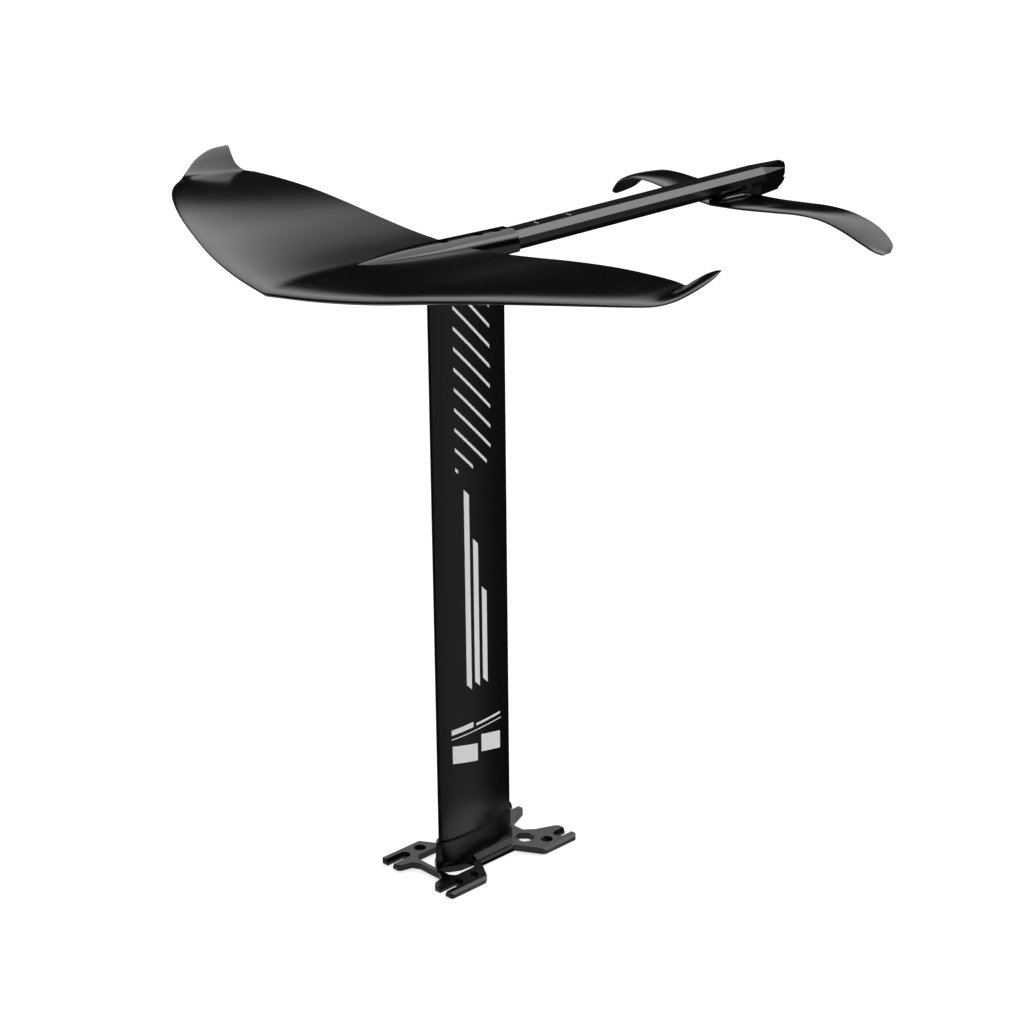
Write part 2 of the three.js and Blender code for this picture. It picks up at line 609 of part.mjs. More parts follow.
place('base_plate', basePlate(), finish.anodised);
place('mast_profile', mastProfile(), finish.mast);
place('mast_foot_insert', mastFootInsert(), finish.insert);
place('mast_head_insert', mastHeadInsert(), finish.insert);
FOOT_SCREWS.forEach((y, i) => {
  place(`mast_foot_screw_${PLACES[i]}`, countersunkScrew(y, 0, FOOT_SCREW_LENGTH), finish.steel);
});
place('fuselage', fuselage(), finish.anodised);
place('front_wing', frontWing(), finish.composite);
WING_BOLTS.forEach((y, i) => {
  place(`wing_bolt_${PLACES[i]}`, wingBolt(y), finish.steel);
  place(`wing_bolt_washer_${PLACES[i]}`, washer(y), finish.steel);
});
place('wing_bolt_thread_insert', threadInsert(WING_BOLTS[2], INSERT_FOOT, TONGUE_TOP - GAP), finish.steel);
place('rear_stabilizer', rearStabilizer(), finish.composite);
STAB_SCREWS.forEach((y, i) => {
  const where = PLACES[2 * i];
  const sleeve = threadInsert(y, INSERT_FOOT, INSERT_FOOT + STAB_INSERT_LENGTH);
  place(`stabilizer_screw_${where}`, countersunkScrew(y, STAB_SEAT, STAB_SCREW_LENGTH), finish.steel);
  place(`stabilizer_thread_insert_${where}`, sleeve, finish.steel);
});

export default group;
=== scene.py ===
import math

import bmesh
import bpy
import numpy as np
from mathutils import Matrix, Vector


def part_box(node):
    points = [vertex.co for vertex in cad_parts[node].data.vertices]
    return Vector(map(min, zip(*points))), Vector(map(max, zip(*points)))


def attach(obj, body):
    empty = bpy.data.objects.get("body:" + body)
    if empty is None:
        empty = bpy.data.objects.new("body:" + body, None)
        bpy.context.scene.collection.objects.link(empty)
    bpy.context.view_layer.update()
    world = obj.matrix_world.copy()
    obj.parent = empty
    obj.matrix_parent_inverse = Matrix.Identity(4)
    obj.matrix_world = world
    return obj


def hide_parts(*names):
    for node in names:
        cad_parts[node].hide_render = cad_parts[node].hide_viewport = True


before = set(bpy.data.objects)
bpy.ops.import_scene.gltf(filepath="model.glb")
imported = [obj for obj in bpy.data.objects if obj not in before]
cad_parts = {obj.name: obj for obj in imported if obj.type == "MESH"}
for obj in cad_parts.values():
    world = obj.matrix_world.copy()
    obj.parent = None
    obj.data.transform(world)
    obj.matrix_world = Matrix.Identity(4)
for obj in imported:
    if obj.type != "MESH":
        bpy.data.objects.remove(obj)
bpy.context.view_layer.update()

# A hydrofoil: board plate, mast, fuselage, front wing and rear stabilizer, standing on its plate.
# Shapes are worked out in millimetres in the frame's axes, and each finished piece is scaled to metres.
# X is the span, -Y is the nose, +Y is the tail, and Z runs from the board face up the mast.

MM = 0.001


def node_box(node):
    """Lowest and highest corner of a CAD node, in millimetres."""
    low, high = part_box(node)
    return np.array(low) / MM, np.array(high) / MM


# ---------------------------------------------------------------- driving dimensions
plate_low, plate_high = node_box("base_plate")
mast_low, mast_high = node_box("mast_profile")
fuse_low, fuse_high = node_box("fuselage")
wing_low, wing_high = node_box("front_wing")

GAP = 0.3  # clearance between touching pieces
OVER = 5.0  # how far a cutter reaches past the face that it opens
PLATE_THICK = 8.0
PLATE_HALF_WIDTH = plate_high[0]
FRONT_ARM_END = plate_low[1]
REAR_ARM_END = plate_high[1]
COLLAR_TOP = plate_high[2]
ARM_CORNER = 2.5
EDGE_CUT = 3.0  # sloping cut along the plate's long sides
SLOT_X = 45.0
SLOT_HALF_WIDTH = 4.6
SLOT_INNER = {-1: 75.7, 1: 80.5}  # closed ends of the front and rear slots, from the centre
HOLE_Y = (-56.0, 64.0)
HOLE_R = 4.2
RECESS_R = 7.2
RECESS_DEPTH = 4.8
SOCKET_FLOOR = 6.0
SHOULDER_HALF = 29.0

MAST_NOSE = mast_low[1]
MAST_CHORD = mast_high[1] - mast_low[1]
MAST_THICK = 16.0
MAST_TAIL_HALF = 0.35
MAST_WALL = 2.0
MAST_CELLS = ((-58.0, -52.5), (-50.0, 11.0), (14.0, 30.0))

FUSE_BOTTOM = fuse_low[2]
FUSE_TOP = fuse_high[2]
TONGUE_FRONT = fuse_low[1]
TONGUE_HALF = 12.5
TONGUE_TOP = 730.0
TAIL_START = 464.0
TAIL_END = fuse_high[1]
TICKS = (97.0, 147.0)
TICK_HALF_LENGTH = 3.8
TICK_HALF_WIDTH = 0.95
TICK_DEPTH = 0.5

BOSS_NOSE = -166.0
BOSS_END = 55.0
BOSS_HALF = 18.5
BOSS_FLAT_HALF = 8.6
BOLT_R = 2.9
BOLT_HEAD_TALL = 5.0
BOLT_KEY = 5.0  # across the flats of the key recess
BOLT_RECESS_R = 5.6
HEAD_SEAT = 733.2  # floor of the bolt recesses
INSERT_R = 4.5
SCREW_HEAD_R = 5.9
SCREW_KEY = 4.0
HEAD_SUNK = 0.4  # a countersunk head lies this far below its face
THREAD_PITCH = 1.0
THREAD_DEPTH = 0.35

STAB_TOP = FUSE_BOTTOM - GAP
SADDLE_NOSE = 372.0
SADDLE_HALF = 9.0
TAIL_EDGE_HALF = 0.8


PLACES = ("front", "middle", "rear")


# ---------------------------------------------------------------- mesh tools
def new_object(name, points, faces):
    mesh = bpy.data.meshes.new(name)
    mesh.from_pydata([tuple(p) for p in points], [], faces)
    mesh.update()
    obj = bpy.data.objects.new(name, mesh)
    bpy.context.scene.collection.objects.link(obj)
    return obj


def edit(obj, work):
    """Runs work(bm) on the object's mesh."""
    bm = bmesh.new()
    bm.from_mesh(obj.data)
    work(bm)
    bm.to_mesh(obj.data)
    bm.free()
    obj.data.update()


def outward(obj):
    edit(obj, lambda bm: bmesh.ops.recalc_face_normals(bm, faces=bm.faces))
    return obj


def loft(name, rings):
    """A closed solid through rings of points, all with the same number of points in the same order."""
    rings = np.asarray(rings, float)
    rows, count, _ = rings.shape
    faces = []
    for i in range(rows - 1):
        for k in range(count):
            n = (k + 1) % count
            faces.append((i * count + k, i * count + n, (i + 1) * count + n, (i + 1) * count + k))
    faces.append(tuple(range(count)))
    faces.append(tuple((rows - 1) * count + k for k in range(count)))
    return outward(new_object(name, rings.reshape(-1, 3), faces))


def slab(name, outline, z0, z1, chamfer=0.0):
    """A plan outline raised from z0 to z1, with rounded upper and lower edges when chamfer is given."""
    outline = np.asarray(outline, float)
    if chamfer == 0:
        levels = [(z0, 0.0), (z1, 0.0)]
    else:
        turn = np.linspace(0, math.pi / 2, 4)
        low = [(z0 + chamfer * (1 - math.sin(a)), chamfer * (1 - math.cos(a))) for a in turn[::-1]]
        high = [(z1 - chamfer * (1 - math.sin(a)), chamfer * (1 - math.cos(a))) for a in turn]
        levels = low + high
    return loft(name, [with_z(inset(outline, depth), z) for z, depth in levels])


def with_z(outline, z):
    return np.column_stack([outline, np.full(len(outline), z)])


def inset(outline, depth):
    """The plan outline moved inwards by depth, each corner along its mitre."""
    if depth == 0:
        return outline
    before = outline - np.roll(outline, 1, axis=0)
    after = np.roll(outline, -1, axis=0) - outline
    before /= np.linalg.norm(before, axis=1)[:, None]
    after /= np.linalg.norm(after, axis=1)[:, None]
    normal_before = np.column_stack([-before[:, 1], before[:, 0]])
    normal_after = np.column_stack([-after[:, 1], after[:, 0]])
    x, y = outline[:, 0], outline[:, 1]
    area = np.sum(x * np.roll(y, -1) - np.roll(x, -1) * y)
    mitre = normal_before + normal_after
    mitre /= np.sum(mitre * normal_before, axis=1)[:, None]
    return outline + math.copysign(depth, area) * mitre


def rounded(points, radius, steps=5):
    """The outline with every corner rounded by an arc; radius may be a number or one for each corner."""
    points = np.asarray(points, float)
    radii = np.broadcast_to(radius, len(points))
    made = []
    for k, corner in enumerate(points):
        to_before = points[k - 1] - corner
        to_after = points[(k + 1) % len(points)] - corner
        room = 0.45 * min(np.linalg.norm(to_before), np.linalg.norm(to_after))
        to_before = to_before / np.linalg.norm(to_before)
        to_after = to_after / np.linalg.norm(to_after)
        half_angle = math.acos(np.clip(to_before @ to_after, -1, 1)) / 2
        reach = min(room, radii[k] / math.tan(half_angle))
        if reach < 0.05:
            made.append(corner)
            continue
        start, end = corner + to_before * reach, corner + to_after * reach
        made += bent(start, corner, end, steps)
    return np.array(made)


def bent(start, corner, end, steps):
    """Points from start to end on the curve that a corner between them pulls outwards."""
    return [
        (1 - t) ** 2 * start + 2 * t * (1 - t) * corner + t ** 2 * end for t in np.linspace(0, 1, steps)
    ]


def mirrored(outline):
    """The outline's mirror image across X = 0, in the order that carries the outline on."""
    return [(-x, y) for x, y in reversed(list(outline))]


def rectangle(x0, y0, x1, y1):
    return [(x0, y0), (x1, y0), (x1, y1), (x0, y1)]


def turned(name, profile, x, y, sides=48):
    """A turned solid on a vertical axis at (x, y), from (radius, z) pairs that start and end on the axis."""
    angles = np.linspace(0, 2 * math.pi, sides, endpoint=False)
    circle = np.column_stack([np.cos(angles), np.sin(angles)])
    return loft(name, [with_z((x, y) + radius * circle, z) for radius, z in profile[1:-1]])


def drum(name, r, z0, z1, x, y, sides=48):
    return turned(name, [(0, z0), (r, z0), (r, z1), (0, z1)], x, y, sides)


def key_recess(across_flats, z0, z1, y):
    """The cutter for a hexagonal key recess on the centre line."""
    return drum("key", across_flats / math.sqrt(3), z0, z1, 0, y, 6)


def middle_of(node):
    """Where a fastener stands along the centre line."""
    low, high = node_box(node)
    return (low[1] + high[1]) / 2


def applied(obj):
    """Makes the object's modifiers part of its mesh."""
    graph = bpy.context.evaluated_depsgraph_get()
    graph.update()
    made = bpy.data.meshes.new_from_object(obj.evaluated_get(graph))
    obj.modifiers.clear()
    obj.data = made
    return obj


def combine(target, others, operation):
    for other in others:
        change = target.modifiers.new("combine", "BOOLEAN")
        change.operation = operation
        change.solver = "EXACT"
        change.object = other
        applied(target)
        bpy.data.objects.remove(other)
    return target


def join(target, others):
    return combine(target, others, "UNION")


def cut(target, others):
    return combine(target, others, "DIFFERENCE")


WELD = 0.002
FLAT_DEGREES = 0.3


def cleaned(obj):
    """Merges points that coincide and dissolves edges between faces in one plane. Faces with many corners
    are split first, because merging their points could close the hole that they go round."""
    def work(bm):
        bmesh.ops.triangulate(bm, faces=[face for face in bm.faces if len(face.verts) > 4])
        bmesh.ops.remove_doubles(bm, verts=bm.verts, dist=WELD)
        bmesh.ops.dissolve_degenerate(bm, edges=bm.edges, dist=WELD)
        bmesh.ops.dissolve_limit(
            bm, angle_limit=math.radians(FLAT_DEGREES), verts=bm.verts, edges=bm.edges, delimit={"NORMAL"}
        )
    edit(obj, work)
    return obj


def welded(obj, distance=0.004):
    edit(obj, lambda bm: bmesh.ops.remove_doubles(bm, verts=bm.verts, dist=distance))
    return obj


def edges_rounded(obj, width, over):
    """Rounds every edge that turns by more than `over` degrees."""
    bevel = obj.modifiers.new("edges", "BEVEL")
    bevel.limit_method = "ANGLE"
    bevel.angle_limit = math.radians(over)
    bevel.width = width
    bevel.segments = 2
    bevel.use_clamp_overlap = True
    bevel.miter_outer = "MITER_ARC"
    return applied(obj)


def shaded(obj, sharp_over):
    """Smooth shading, except over edges that turn by more than sharp_over degrees."""
    limit = math.radians(sharp_over)

    def work(bm):
        for face in bm.faces:
            face.smooth = True
        for edge in bm.edges:
            edge.smooth = not (len(edge.link_faces) == 2 and edge.calc_face_angle(0.0) > limit)
    edit(obj, work)
    return obj


def weighted(obj):
    """Lets the large faces decide the normals at their edges, so that flats look flat."""
    change = obj.modifiers.new("normals", "WEIGHTED_NORMAL")
    change.keep_sharp = True
    change.weight = 60
    return obj


def as_piece(obj, material, slot, *nodes):
    """Scales a finished shape to metres and puts it in the frame, in place of the CAD nodes."""
    obj.data.transform(Matrix.Scale(MM, 4))
    obj.data.materials.clear()
    obj.data.materials.append(material)
    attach(obj, "root")
    if nodes:
        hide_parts(*nodes)
    return obj


def kept_inside(obj, low, high):
    """Moves any point that is a hair outside the box back onto it."""
    for vertex in obj.data.vertices:
        vertex.co = np.clip(vertex.co, low, high)
    return obj


def copy_of(node, name):
    """A separate object with the CAD node's shape, in millimetres."""
    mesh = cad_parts[node].data.copy()
    mesh.transform(Matrix.Scale(1 / MM, 4))
    obj = bpy.data.objects.new(name, mesh)
    bpy.context.scene.collection.objects.link(obj)
    return cleaned(obj)


# ---------------------------------------------------------------- curves
CURVE_SAMPLES = 600
EASE_PASSES = 60


def curve_through(points):
    """A smooth centripetal curve through the points, sampled finely, with its small kinks eased out."""
    p = np.asarray(points, float)
    p = np.vstack([2 * p[0] - p[1], p, 2 * p[-1] - p[-2]])
    knots = np.concatenate([[0], np.cumsum(np.linalg.norm(np.diff(p, axis=0), axis=1) ** 0.5)])
    samples = []
    for s in np.linspace(0, 1, CURVE_SAMPLES):
        place = s * (len(points) - 1)
        k = min(int(place), len(points) - 2)
        t = knots[k + 1] + (place - k) * (knots[k + 2] - knots[k + 1])
        q = [p[k + j] for j in range(4)]
        u = [knots[k + j] for j in range(4)]
        for level in (1, 2, 3):
            if level < 3:
                q = [
                    ((u[j + level] - t) * q[j] + (t - u[j]) * q[j + 1]) / (u[j + level] - u[j])
                    for j in range(4 - level)
                ]
            else:
                q = [((u[2] - t) * q[0] + (t - u[1]) * q[1]) / (u[2] - u[1])]
        samples.append(q[0])
    samples = np.array(samples)
    for _ in range(EASE_PASSES):
        samples[1:-1] = (samples[:-2] + 2 * samples[1:-1] + samples[2:]) / 4
    return samples


def at(samples, s):
    """The point at share s of a sampled curve."""
    place = np.clip(s, 0, 1) * (len(samples) - 1)
    k = np.minimum(place.astype(int), len(samples) - 2)
    part = (place - k)[:, None]
    return samples[k] * (1 - part) + samples[k + 1] * part


def section_half(u, ratio):
    """Half thickness of a symmetric four-digit section at a share u of the chord."""
    return 5 * ratio * (0.2969 * np.sqrt(u) - 0.126 * u - 0.3516 * u ** 2 + 0.2843 * u ** 3 - 0.1036 * u ** 4)


def chord_shares(steps):
    return (1 - np.cos(np.linspace(0, math.pi, steps + 1))) / 2


def eased_step(value, start, full):
    """0 up to start and 1 from full on, with a smooth rise between them."""
    t = np.clip((value - start) / (full - start), 0, 1)
    return t * t * (3 - 2 * t)


def wing_surface(name, lead_points, trail_points, stations, ratio_at, camber, steps):
    """A wing from tip to tip: a section at each station between the leading and the trailing edge."""
    lead, trail = curve_through(lead_points), curve_through(trail_points)
    stations = np.asarray(stations)
    nose, tail = at(lead, stations), at(trail, stations)
    chord = tail - nose
    ahead, behind = np.minimum(1, stations + 0.01), np.maximum(0, stations - 0.01)
    along_lead, along_trail = (at(edge, ahead) - at(edge, behind) for edge in (lead, trail))
    span = 0.6 * along_lead + 0.4 * along_trail
    normal = np.cross(span, chord)
    normal[0] = (0, -chord[0, 2], chord[0, 1])
    normal /= np.linalg.norm(normal, axis=1)[:, None]
    length = np.linalg.norm(chord, axis=1)
    shares = chord_shares(steps)
    rings = []
    for i, s in enumerate(stations):
        ratio = ratio_at(s)
        half = length[i] * section_half(shares, ratio) + min(0.45, 0.2 * length[i] * ratio) * shares
        bow = 4 * camber * length[i] * shares * (1 - shares)
        line = nose[i] + shares[:, None] * chord[i]
        above = line + (bow + half)[:, None] * normal[i]
        below = line + (bow - half)[:, None] * normal[i]
        rings.append(np.vstack([above[::-1], below[1:]]))
    rings = np.array(rings)
    left = rings[:0:-1] * np.array([-1, 1, 1])
    return loft(name, np.vstack([left, rings]))


# ---------------------------------------------------------------- shapes: mast
def mast_half(y):
    u = np.clip((np.asarray(y, float) - MAST_NOSE) / MAST_CHORD, 0, 1)
    return MAST_CHORD * section_half(u, MAST_THICK / MAST_CHORD) + MAST_TAIL_HALF * u


def mast_outline(grow=0.0, steps=44):
    """Plan outline of the mast, grown on every side."""
    u = chord_shares(steps)
    half = MAST_CHORD * section_half(u, MAST_THICK / MAST_CHORD)
    side = grow * np.minimum(1, 6 * np.sqrt(u * (1 - u))) + MAST_TAIL_HALF * u
    right = np.column_stack([half + side, MAST_NOSE - grow + u * (MAST_CHORD + 2 * grow)])
    return np.vstack([right, (right * (-1, 1))[:0:-1]])


def cell_outline(cell, steps=20):
    y = np.linspace(cell[0], cell[1], steps + 1)
    half = mast_half(y) - MAST_WALL
    right = np.column_stack([half, y])
    return rounded(np.vstack([right, (right * (-1, 1))[::-1]]), 0.4, 2)


def mast_skin():
    body = slab("mast_skin", mast_outline(), mast_low[2], mast_high[2])
    cells = [slab("cell", cell_outline(cell), mast_low[2] - 1, mast_high[2] + 1) for cell in MAST_CELLS]
    return shaded(cut(body, cells), 40)


# ---------------------------------------------------------------- shapes: board plate
PLATE_RIGHT = [
    (16, -81.5), (25, -86), (28.5, -99), (32, FRONT_ARM_END),
    (PLATE_HALF_WIDTH - ARM_CORNER, FRONT_ARM_END), (PLATE_HALF_WIDTH, FRONT_ARM_END + ARM_CORNER),
    (PLATE_HALF_WIDTH, -50), (58, -45), (SHOULDER_HALF, -27),
    (SHOULDER_HALF, 27), (58, 44), (PLATE_HALF_WIDTH, 48),
    (PLATE_HALF_WIDTH, REAR_ARM_END - ARM_CORNER), (PLATE_HALF_WIDTH - ARM_CORNER, REAR_ARM_END),
    (31.5, REAR_ARM_END), (27.5, 95.5), (17.4, 72), (8, 61),
]
PLATE_CORNERS = [6, 5, 2, 1, 1, 1, 3, 3, 2, 2, 3, 3, 1, 1, 1, 2, 12, 3]


def stadium(x, half, closed, open_end, steps=20):
    """An open-ended slot: a half circle at its closed end, straight out to its open end."""
    way = math.copysign(1, open_end - closed)
    centre = closed + way * half
    turn = np.linspace(0, math.pi, steps)
    arc = [(x + half * math.cos(a), centre - way * half * math.sin(a)) for a in turn]
    return arc + [(x - half, open_end), (x + half, open_end)]


def bolt_slot(x, way, arm_end):
    """The cutters for one slot: the slot itself, and the recess round it with its sloping floor."""
    closed, open_end = way * SLOT_INNER[way], arm_end + way * 2 * OVER
    through = slab("slot", stadium(x, SLOT_HALF_WIDTH, closed, open_end), -1, PLATE_THICK + 1)
    rings = []
    for z, r in ((PLATE_THICK - RECESS_DEPTH, SLOT_HALF_WIDTH - 0.01), (PLATE_THICK + 0.3, RECESS_R + 0.16)):
        outline = stadium(x, r, closed - way * (r - SLOT_HALF_WIDTH), open_end)
        rings.append(with_z(np.array(outline), z))
    return [through, loft("recess", rings)]


def bolt_hole(x, y):
    seat = PLATE_THICK - RECESS_DEPTH
    return turned("hole", [
        (0, -1), (HOLE_R, -1), (HOLE_R, seat), (RECESS_R, PLATE_THICK),
        (RECESS_R, PLATE_THICK + 1), (0, PLATE_THICK + 1),
    ], x, y)


def plate_windows():
    half = [(27, -75), (33, -70), (33, -42), (21, -30), (19, -50), (12, -63), (0, -71.5)]
    crescent = half + mirrored(half[:-1])
    crescent_corners = [4, 4, 3, 1.5, 10, 12, 0, 12, 10, 1.5, 3, 4, 4]
    rear = [(15, 38), (30, 40), (34, 46), (34, 56), (30, 59), (19, 59), (12, 52)]
    outlines = [
        rounded(crescent, crescent_corners),
        rounded(rear, 2.5),
        rounded(mirrored(rear), 2.5),
    ]
    return [slab("window", outline, -1, PLATE_THICK + 1) for outline in outlines]


def collar():
    """The socket round the mast, flaring in a hollow curve to a rim on the plate's shoulders."""
    z_known = [3, 11, 12, 14, 18, 24, 30, COLLAR_TOP - 0.6, COLLAR_TOP]
    side_known = [11, 10.6, 10.2, 9, 7, 4.8, 3.2, 2.0, 1.6]
    flare, neck = np.linspace(11, 18, 9), np.linspace(19, COLLAR_TOP - 0.6, 16)
    levels = np.concatenate([[3.0, 8.0], flare, neck, [COLLAR_TOP]])
    base = mast_outline()
    rings = []
    for z in levels:
        side = float(np.interp(z, z_known, side_known))
        ends = 2 + 0.12 * side
        ring = mast_outline(ends)
        u = np.clip((ring[:, 1] - MAST_NOSE) / MAST_CHORD, 0, 1)
        ring[:, 0] += np.sign(base[:, 0]) * (side - ends) * np.minimum(1, 4 * u * (1 - u))
        rings.append(with_z(ring, z))
    return loft("collar", rings)


def shoulders():
    """The sloping blocks beside the collar, lower at their outer edges."""
    half = [
        (SHOULDER_HALF, 0.5), (SHOULDER_HALF, 4.4), (SHOULDER_HALF - 0.9, 5.4), (18.5, 11.8), (17, 12.2),
    ]
    section = half + [(-x, z) for x, z in reversed(half)]
    return loft("shoulders", [[(x, y, z) for x, z in section] for y in (-28.6, 30.6)])


def base_plate():
    outline = rounded(PLATE_RIGHT + mirrored(PLATE_RIGHT), PLATE_CORNERS + PLATE_CORNERS[::-1])
    plate = slab("plate", outline, 0, PLATE_THICK, 0.7)
    slots = []
    for x in (-SLOT_X, SLOT_X):
        slots += bolt_slot(x, -1, FRONT_ARM_END) + bolt_slot(x, 1, REAR_ARM_END)
        slots += [bolt_hole(x, y) for y in HOLE_Y]
    cut(plate, plate_windows() + slots)
    side_cut = [
        (PLATE_HALF_WIDTH - EDGE_CUT, PLATE_THICK + 0.1), (PLATE_HALF_WIDTH + 1, PLATE_THICK + 0.1),
        (PLATE_HALF_WIDTH + 1, PLATE_THICK - EDGE_CUT - 1),
    ]
    arms = (FRONT_ARM_END - OVER, REAR_ARM_END + OVER)
    cut(plate, [loft("side", [[(way * x, y, z) for x, z in side_cut] for y in arms]) for way in (-1, 1)])
    join(plate, [shoulders(), collar()])
    socket = slab("socket", mast_outline(GAP), SOCKET_FLOOR, COLLAR_TOP + OVER)
    screws = [countersunk_hole(middle_of("mast_foot_screw_" + where), 0, 10) for where in PLACES]
    cut(plate, [socket] + screws)
    cleaned(plate)
    edges_rounded(plate, 0.35, 28)
    return weighted(shaded(plate, 40))


# ---------------------------------------------------------------- shapes: fuselage
def fuselage_bar():
    bar = copy_of("fuselage", "fuselage_bar")
    edges_rounded(bar, 0.45, 20)
    return weighted(shaded(bar, 45))


# ---------------------------------------------------------------- shapes: front wing
WING_LEAD = [
    (0, -285, 738.2), (60, -273.5, 742.2), (120, -257, 748), (180, -235, 756), (240, -208, 762.5),
    (300, -172, 765.5), (335, -143, 765), (356, -120, 763.6), (367, -107, 763.7),
    (377, -93, 767), (386.5, -73, 775.5), (389, -51, 783), (383, -31, 786.5),
]
WING_TRAIL = [
    (0, -22, 736.5), (60, -26, 741.5), (120, -26.5, 748), (180, -26, 755), (240, -25, 760),
    (300, -28, 763), (328, -33, 764.5), (343, -37, 765),
    (353, -40, 771), (366, -36, 780), (376, -31, 785), (381, -28.5, 786),
]


WING_CAMBER = -0.009
TIP_SWELL = 0.03


def wing_ratio(s):
    """Thickness over chord: nearly even along the span, and thicker in the upturned ends."""
    return 0.07 - 0.004 * s + TIP_SWELL * eased_step(s, 0.68, 0.9)


def smooth_between(y, known_y, known):
    """Values between known ones, eased so that no kink shows."""
    fine = np.linspace(known_y[0], known_y[-1], 400)
    values = np.interp(fine, known_y, known)
    for _ in range(300):
        values[1:-1] = (values[:-2] + 2 * values[1:-1] + values[2:]) / 4
    return np.interp(y, fine, values)


def boss():
    """The fairing over the fuselage: a flat top, sloping facets and rounded sides."""
    known_y = [BOSS_NOSE, -150, -125, -95, -60, -25, BOSS_END]
    flat = [0.4, 2.6, 5.2, 7.2, 8.4, BOSS_FLAT_HALF, BOSS_FLAT_HALF]
    half = [2, 7, 11, 14.5, 17.3, BOSS_HALF, BOSS_HALF]
    top = [743, 745, 746.3, 746.9, 746.4, 745.2, 742.7]
    foot = [742.5, 743, 742.8, 741.8, 740.3, 738.2, 734]
    floor = [731, 727, 722, FUSE_BOTTOM, FUSE_BOTTOM, FUSE_BOTTOM, FUSE_BOTTOM]
    fore, aft = np.linspace(BOSS_NOSE, -60, 40), np.linspace(-57, BOSS_END - 1, 30)
    rings = []
    for y in np.concatenate([fore, aft, [BOSS_END - 0.3, BOSS_END]]):
        sizes = [float(smooth_between(y, known_y, known)) for known in (flat, half, top, foot, floor)]
        rim = 0.8 * max(0.0, y - (BOSS_END - 1))
        shrunk = np.array(sizes) + rim * np.array([-0.3, -1, -1, -0.4, 1])
        rings.append([(x, y, z) for x, z in boss_section(*shrunk, eased_step(y, -60.0, -18.0))])
    return loft("boss", rings)


def boss_section(flat, half, top, foot, floor, fullness):
    """Half of the boss's section and its mirror image: the sloping facet turns into the side in a tight
    arc at fullness 0, and in one large arc from the top facet at fullness 1."""
    drop = 8 + 5 * fullness
    corner, side_foot = np.array([half, foot + 3 * fullness]), np.array([half, max(floor + 3, foot - drop)])
    upper = np.array([flat + 0.3, top - 0.3])
    round_from = corner + (0.42 + 0.56 * fullness) * (upper - corner)
    under_edge, low_corner = np.array([half * 0.8, floor]), np.array([half, floor + 0.5])
    arc = bent(round_from, corner, side_foot, 9) + bent(side_foot, low_corner, under_edge, 7)[1:]
    right = [(flat - 0.25, top), (flat + 0.2, top - 0.2)] + [tuple(p) for p in arc]
    return right + [(-x, z) for x, z in reversed(right)]


def front_wing():
    bend = 0.56  # from this share of the curve on, the stations lie closer together
    stations = np.concatenate([np.linspace(0, bend, 44)[:-1], np.linspace(bend, 1, 70)])
    wing = wing_surface("front_wing_skin", WING_LEAD, WING_TRAIL, stations, wing_ratio, WING_CAMBER, 44)
    join(wing, [boss()])
    clear = TONGUE_HALF + GAP
    plan = rectangle(-clear, TONGUE_FRONT - GAP, clear, BOSS_END + OVER)
    channel = slab("channel", plan, FUSE_BOTTOM - 8, TONGUE_TOP + GAP)
    cut(wing, [channel] + [bolt_recess(middle_of("wing_bolt_" + where)) for where in PLACES])
    return shaded(kept_inside(welded(wing), wing_low, wing_high), 24)


def bolt_recess(y):
    """The cutter for a wing bolt: its clearance hole, and the wide recess for its head and washer."""
    foot, mouth = TONGUE_TOP - 2, FUSE_TOP + 4 * OVER
    return turned("recess", [
        (0, foot), (BOLT_R + GAP, foot), (BOLT_R + GAP, HEAD_SEAT),
        (BOLT_RECESS_R, HEAD_SEAT), (BOLT_RECESS_R, mouth), (0, mouth),
    ], 0, y)


# ---------------------------------------------------------------- shapes: rear stabilizer
STAB_LEAD = [
    (0, 381, 708), (40, 388, 708.5), (80, 394, 711), (120, 399.5, 713.5),
    (150, 404, 711), (175, 411.5, 701.5), (193.5, 421.5, 689), (205.5, 431, 679.5), (210.5, 441, 674.5),
]
STAB_TRAIL = [
    (0, 456, 708), (40, 456, 708.5), (80, 456.5, 711), (120, 457, 713.5),
    (150, 460, 711), (174, 467, 702), (190, 471, 691.5), (203, 469, 680.5), (210, 457, 675),
]


def saddle():
    """The block under the fuselage: a thin pointed nose, and a tail with the fuselage's upright edge."""
    plan = [
        (0.8, SADDLE_NOSE), (4, 381), (7, 391), (SADDLE_HALF, 404),
        (SADDLE_HALF, TAIL_START), (TAIL_EDGE_HALF, TAIL_END),
    ]
    corners = [0.5, 6, 12, 12, 12, 0.3]
    outline = rounded(plan + mirrored(plan), corners + corners[::-1])
    block = slab("saddle", outline, FUSE_BOTTOM - 12, STAB_TOP)
    ahead, behind = SADDLE_NOSE - OVER, SADDLE_NOSE + 17
    under_nose = [
        (ahead, STAB_TOP - 1), (SADDLE_NOSE, STAB_TOP - 1.4), (SADDLE_NOSE + 10, STAB_TOP - 4),
        (behind, STAB_TOP - 8), (behind, FUSE_BOTTOM - 20), (ahead, FUSE_BOTTOM - 20),
    ]
    rise = [(-14, -18), (-14, -10), (-9, -8.4), (-5, -6), (-2, -3.6), (0, -1), (OVER, 1), (OVER, -18)]
    under_tail = [(TAIL_END + y, FUSE_BOTTOM + z) for y, z in rise]
    for side in (under_nose, under_tail):
        cut(block, [loft("below", [[(x, y, z) for y, z in side] for x in (-20, 20)])])
    return block


def stab_ratio(s):
    return 0.11 - 0.02 * s


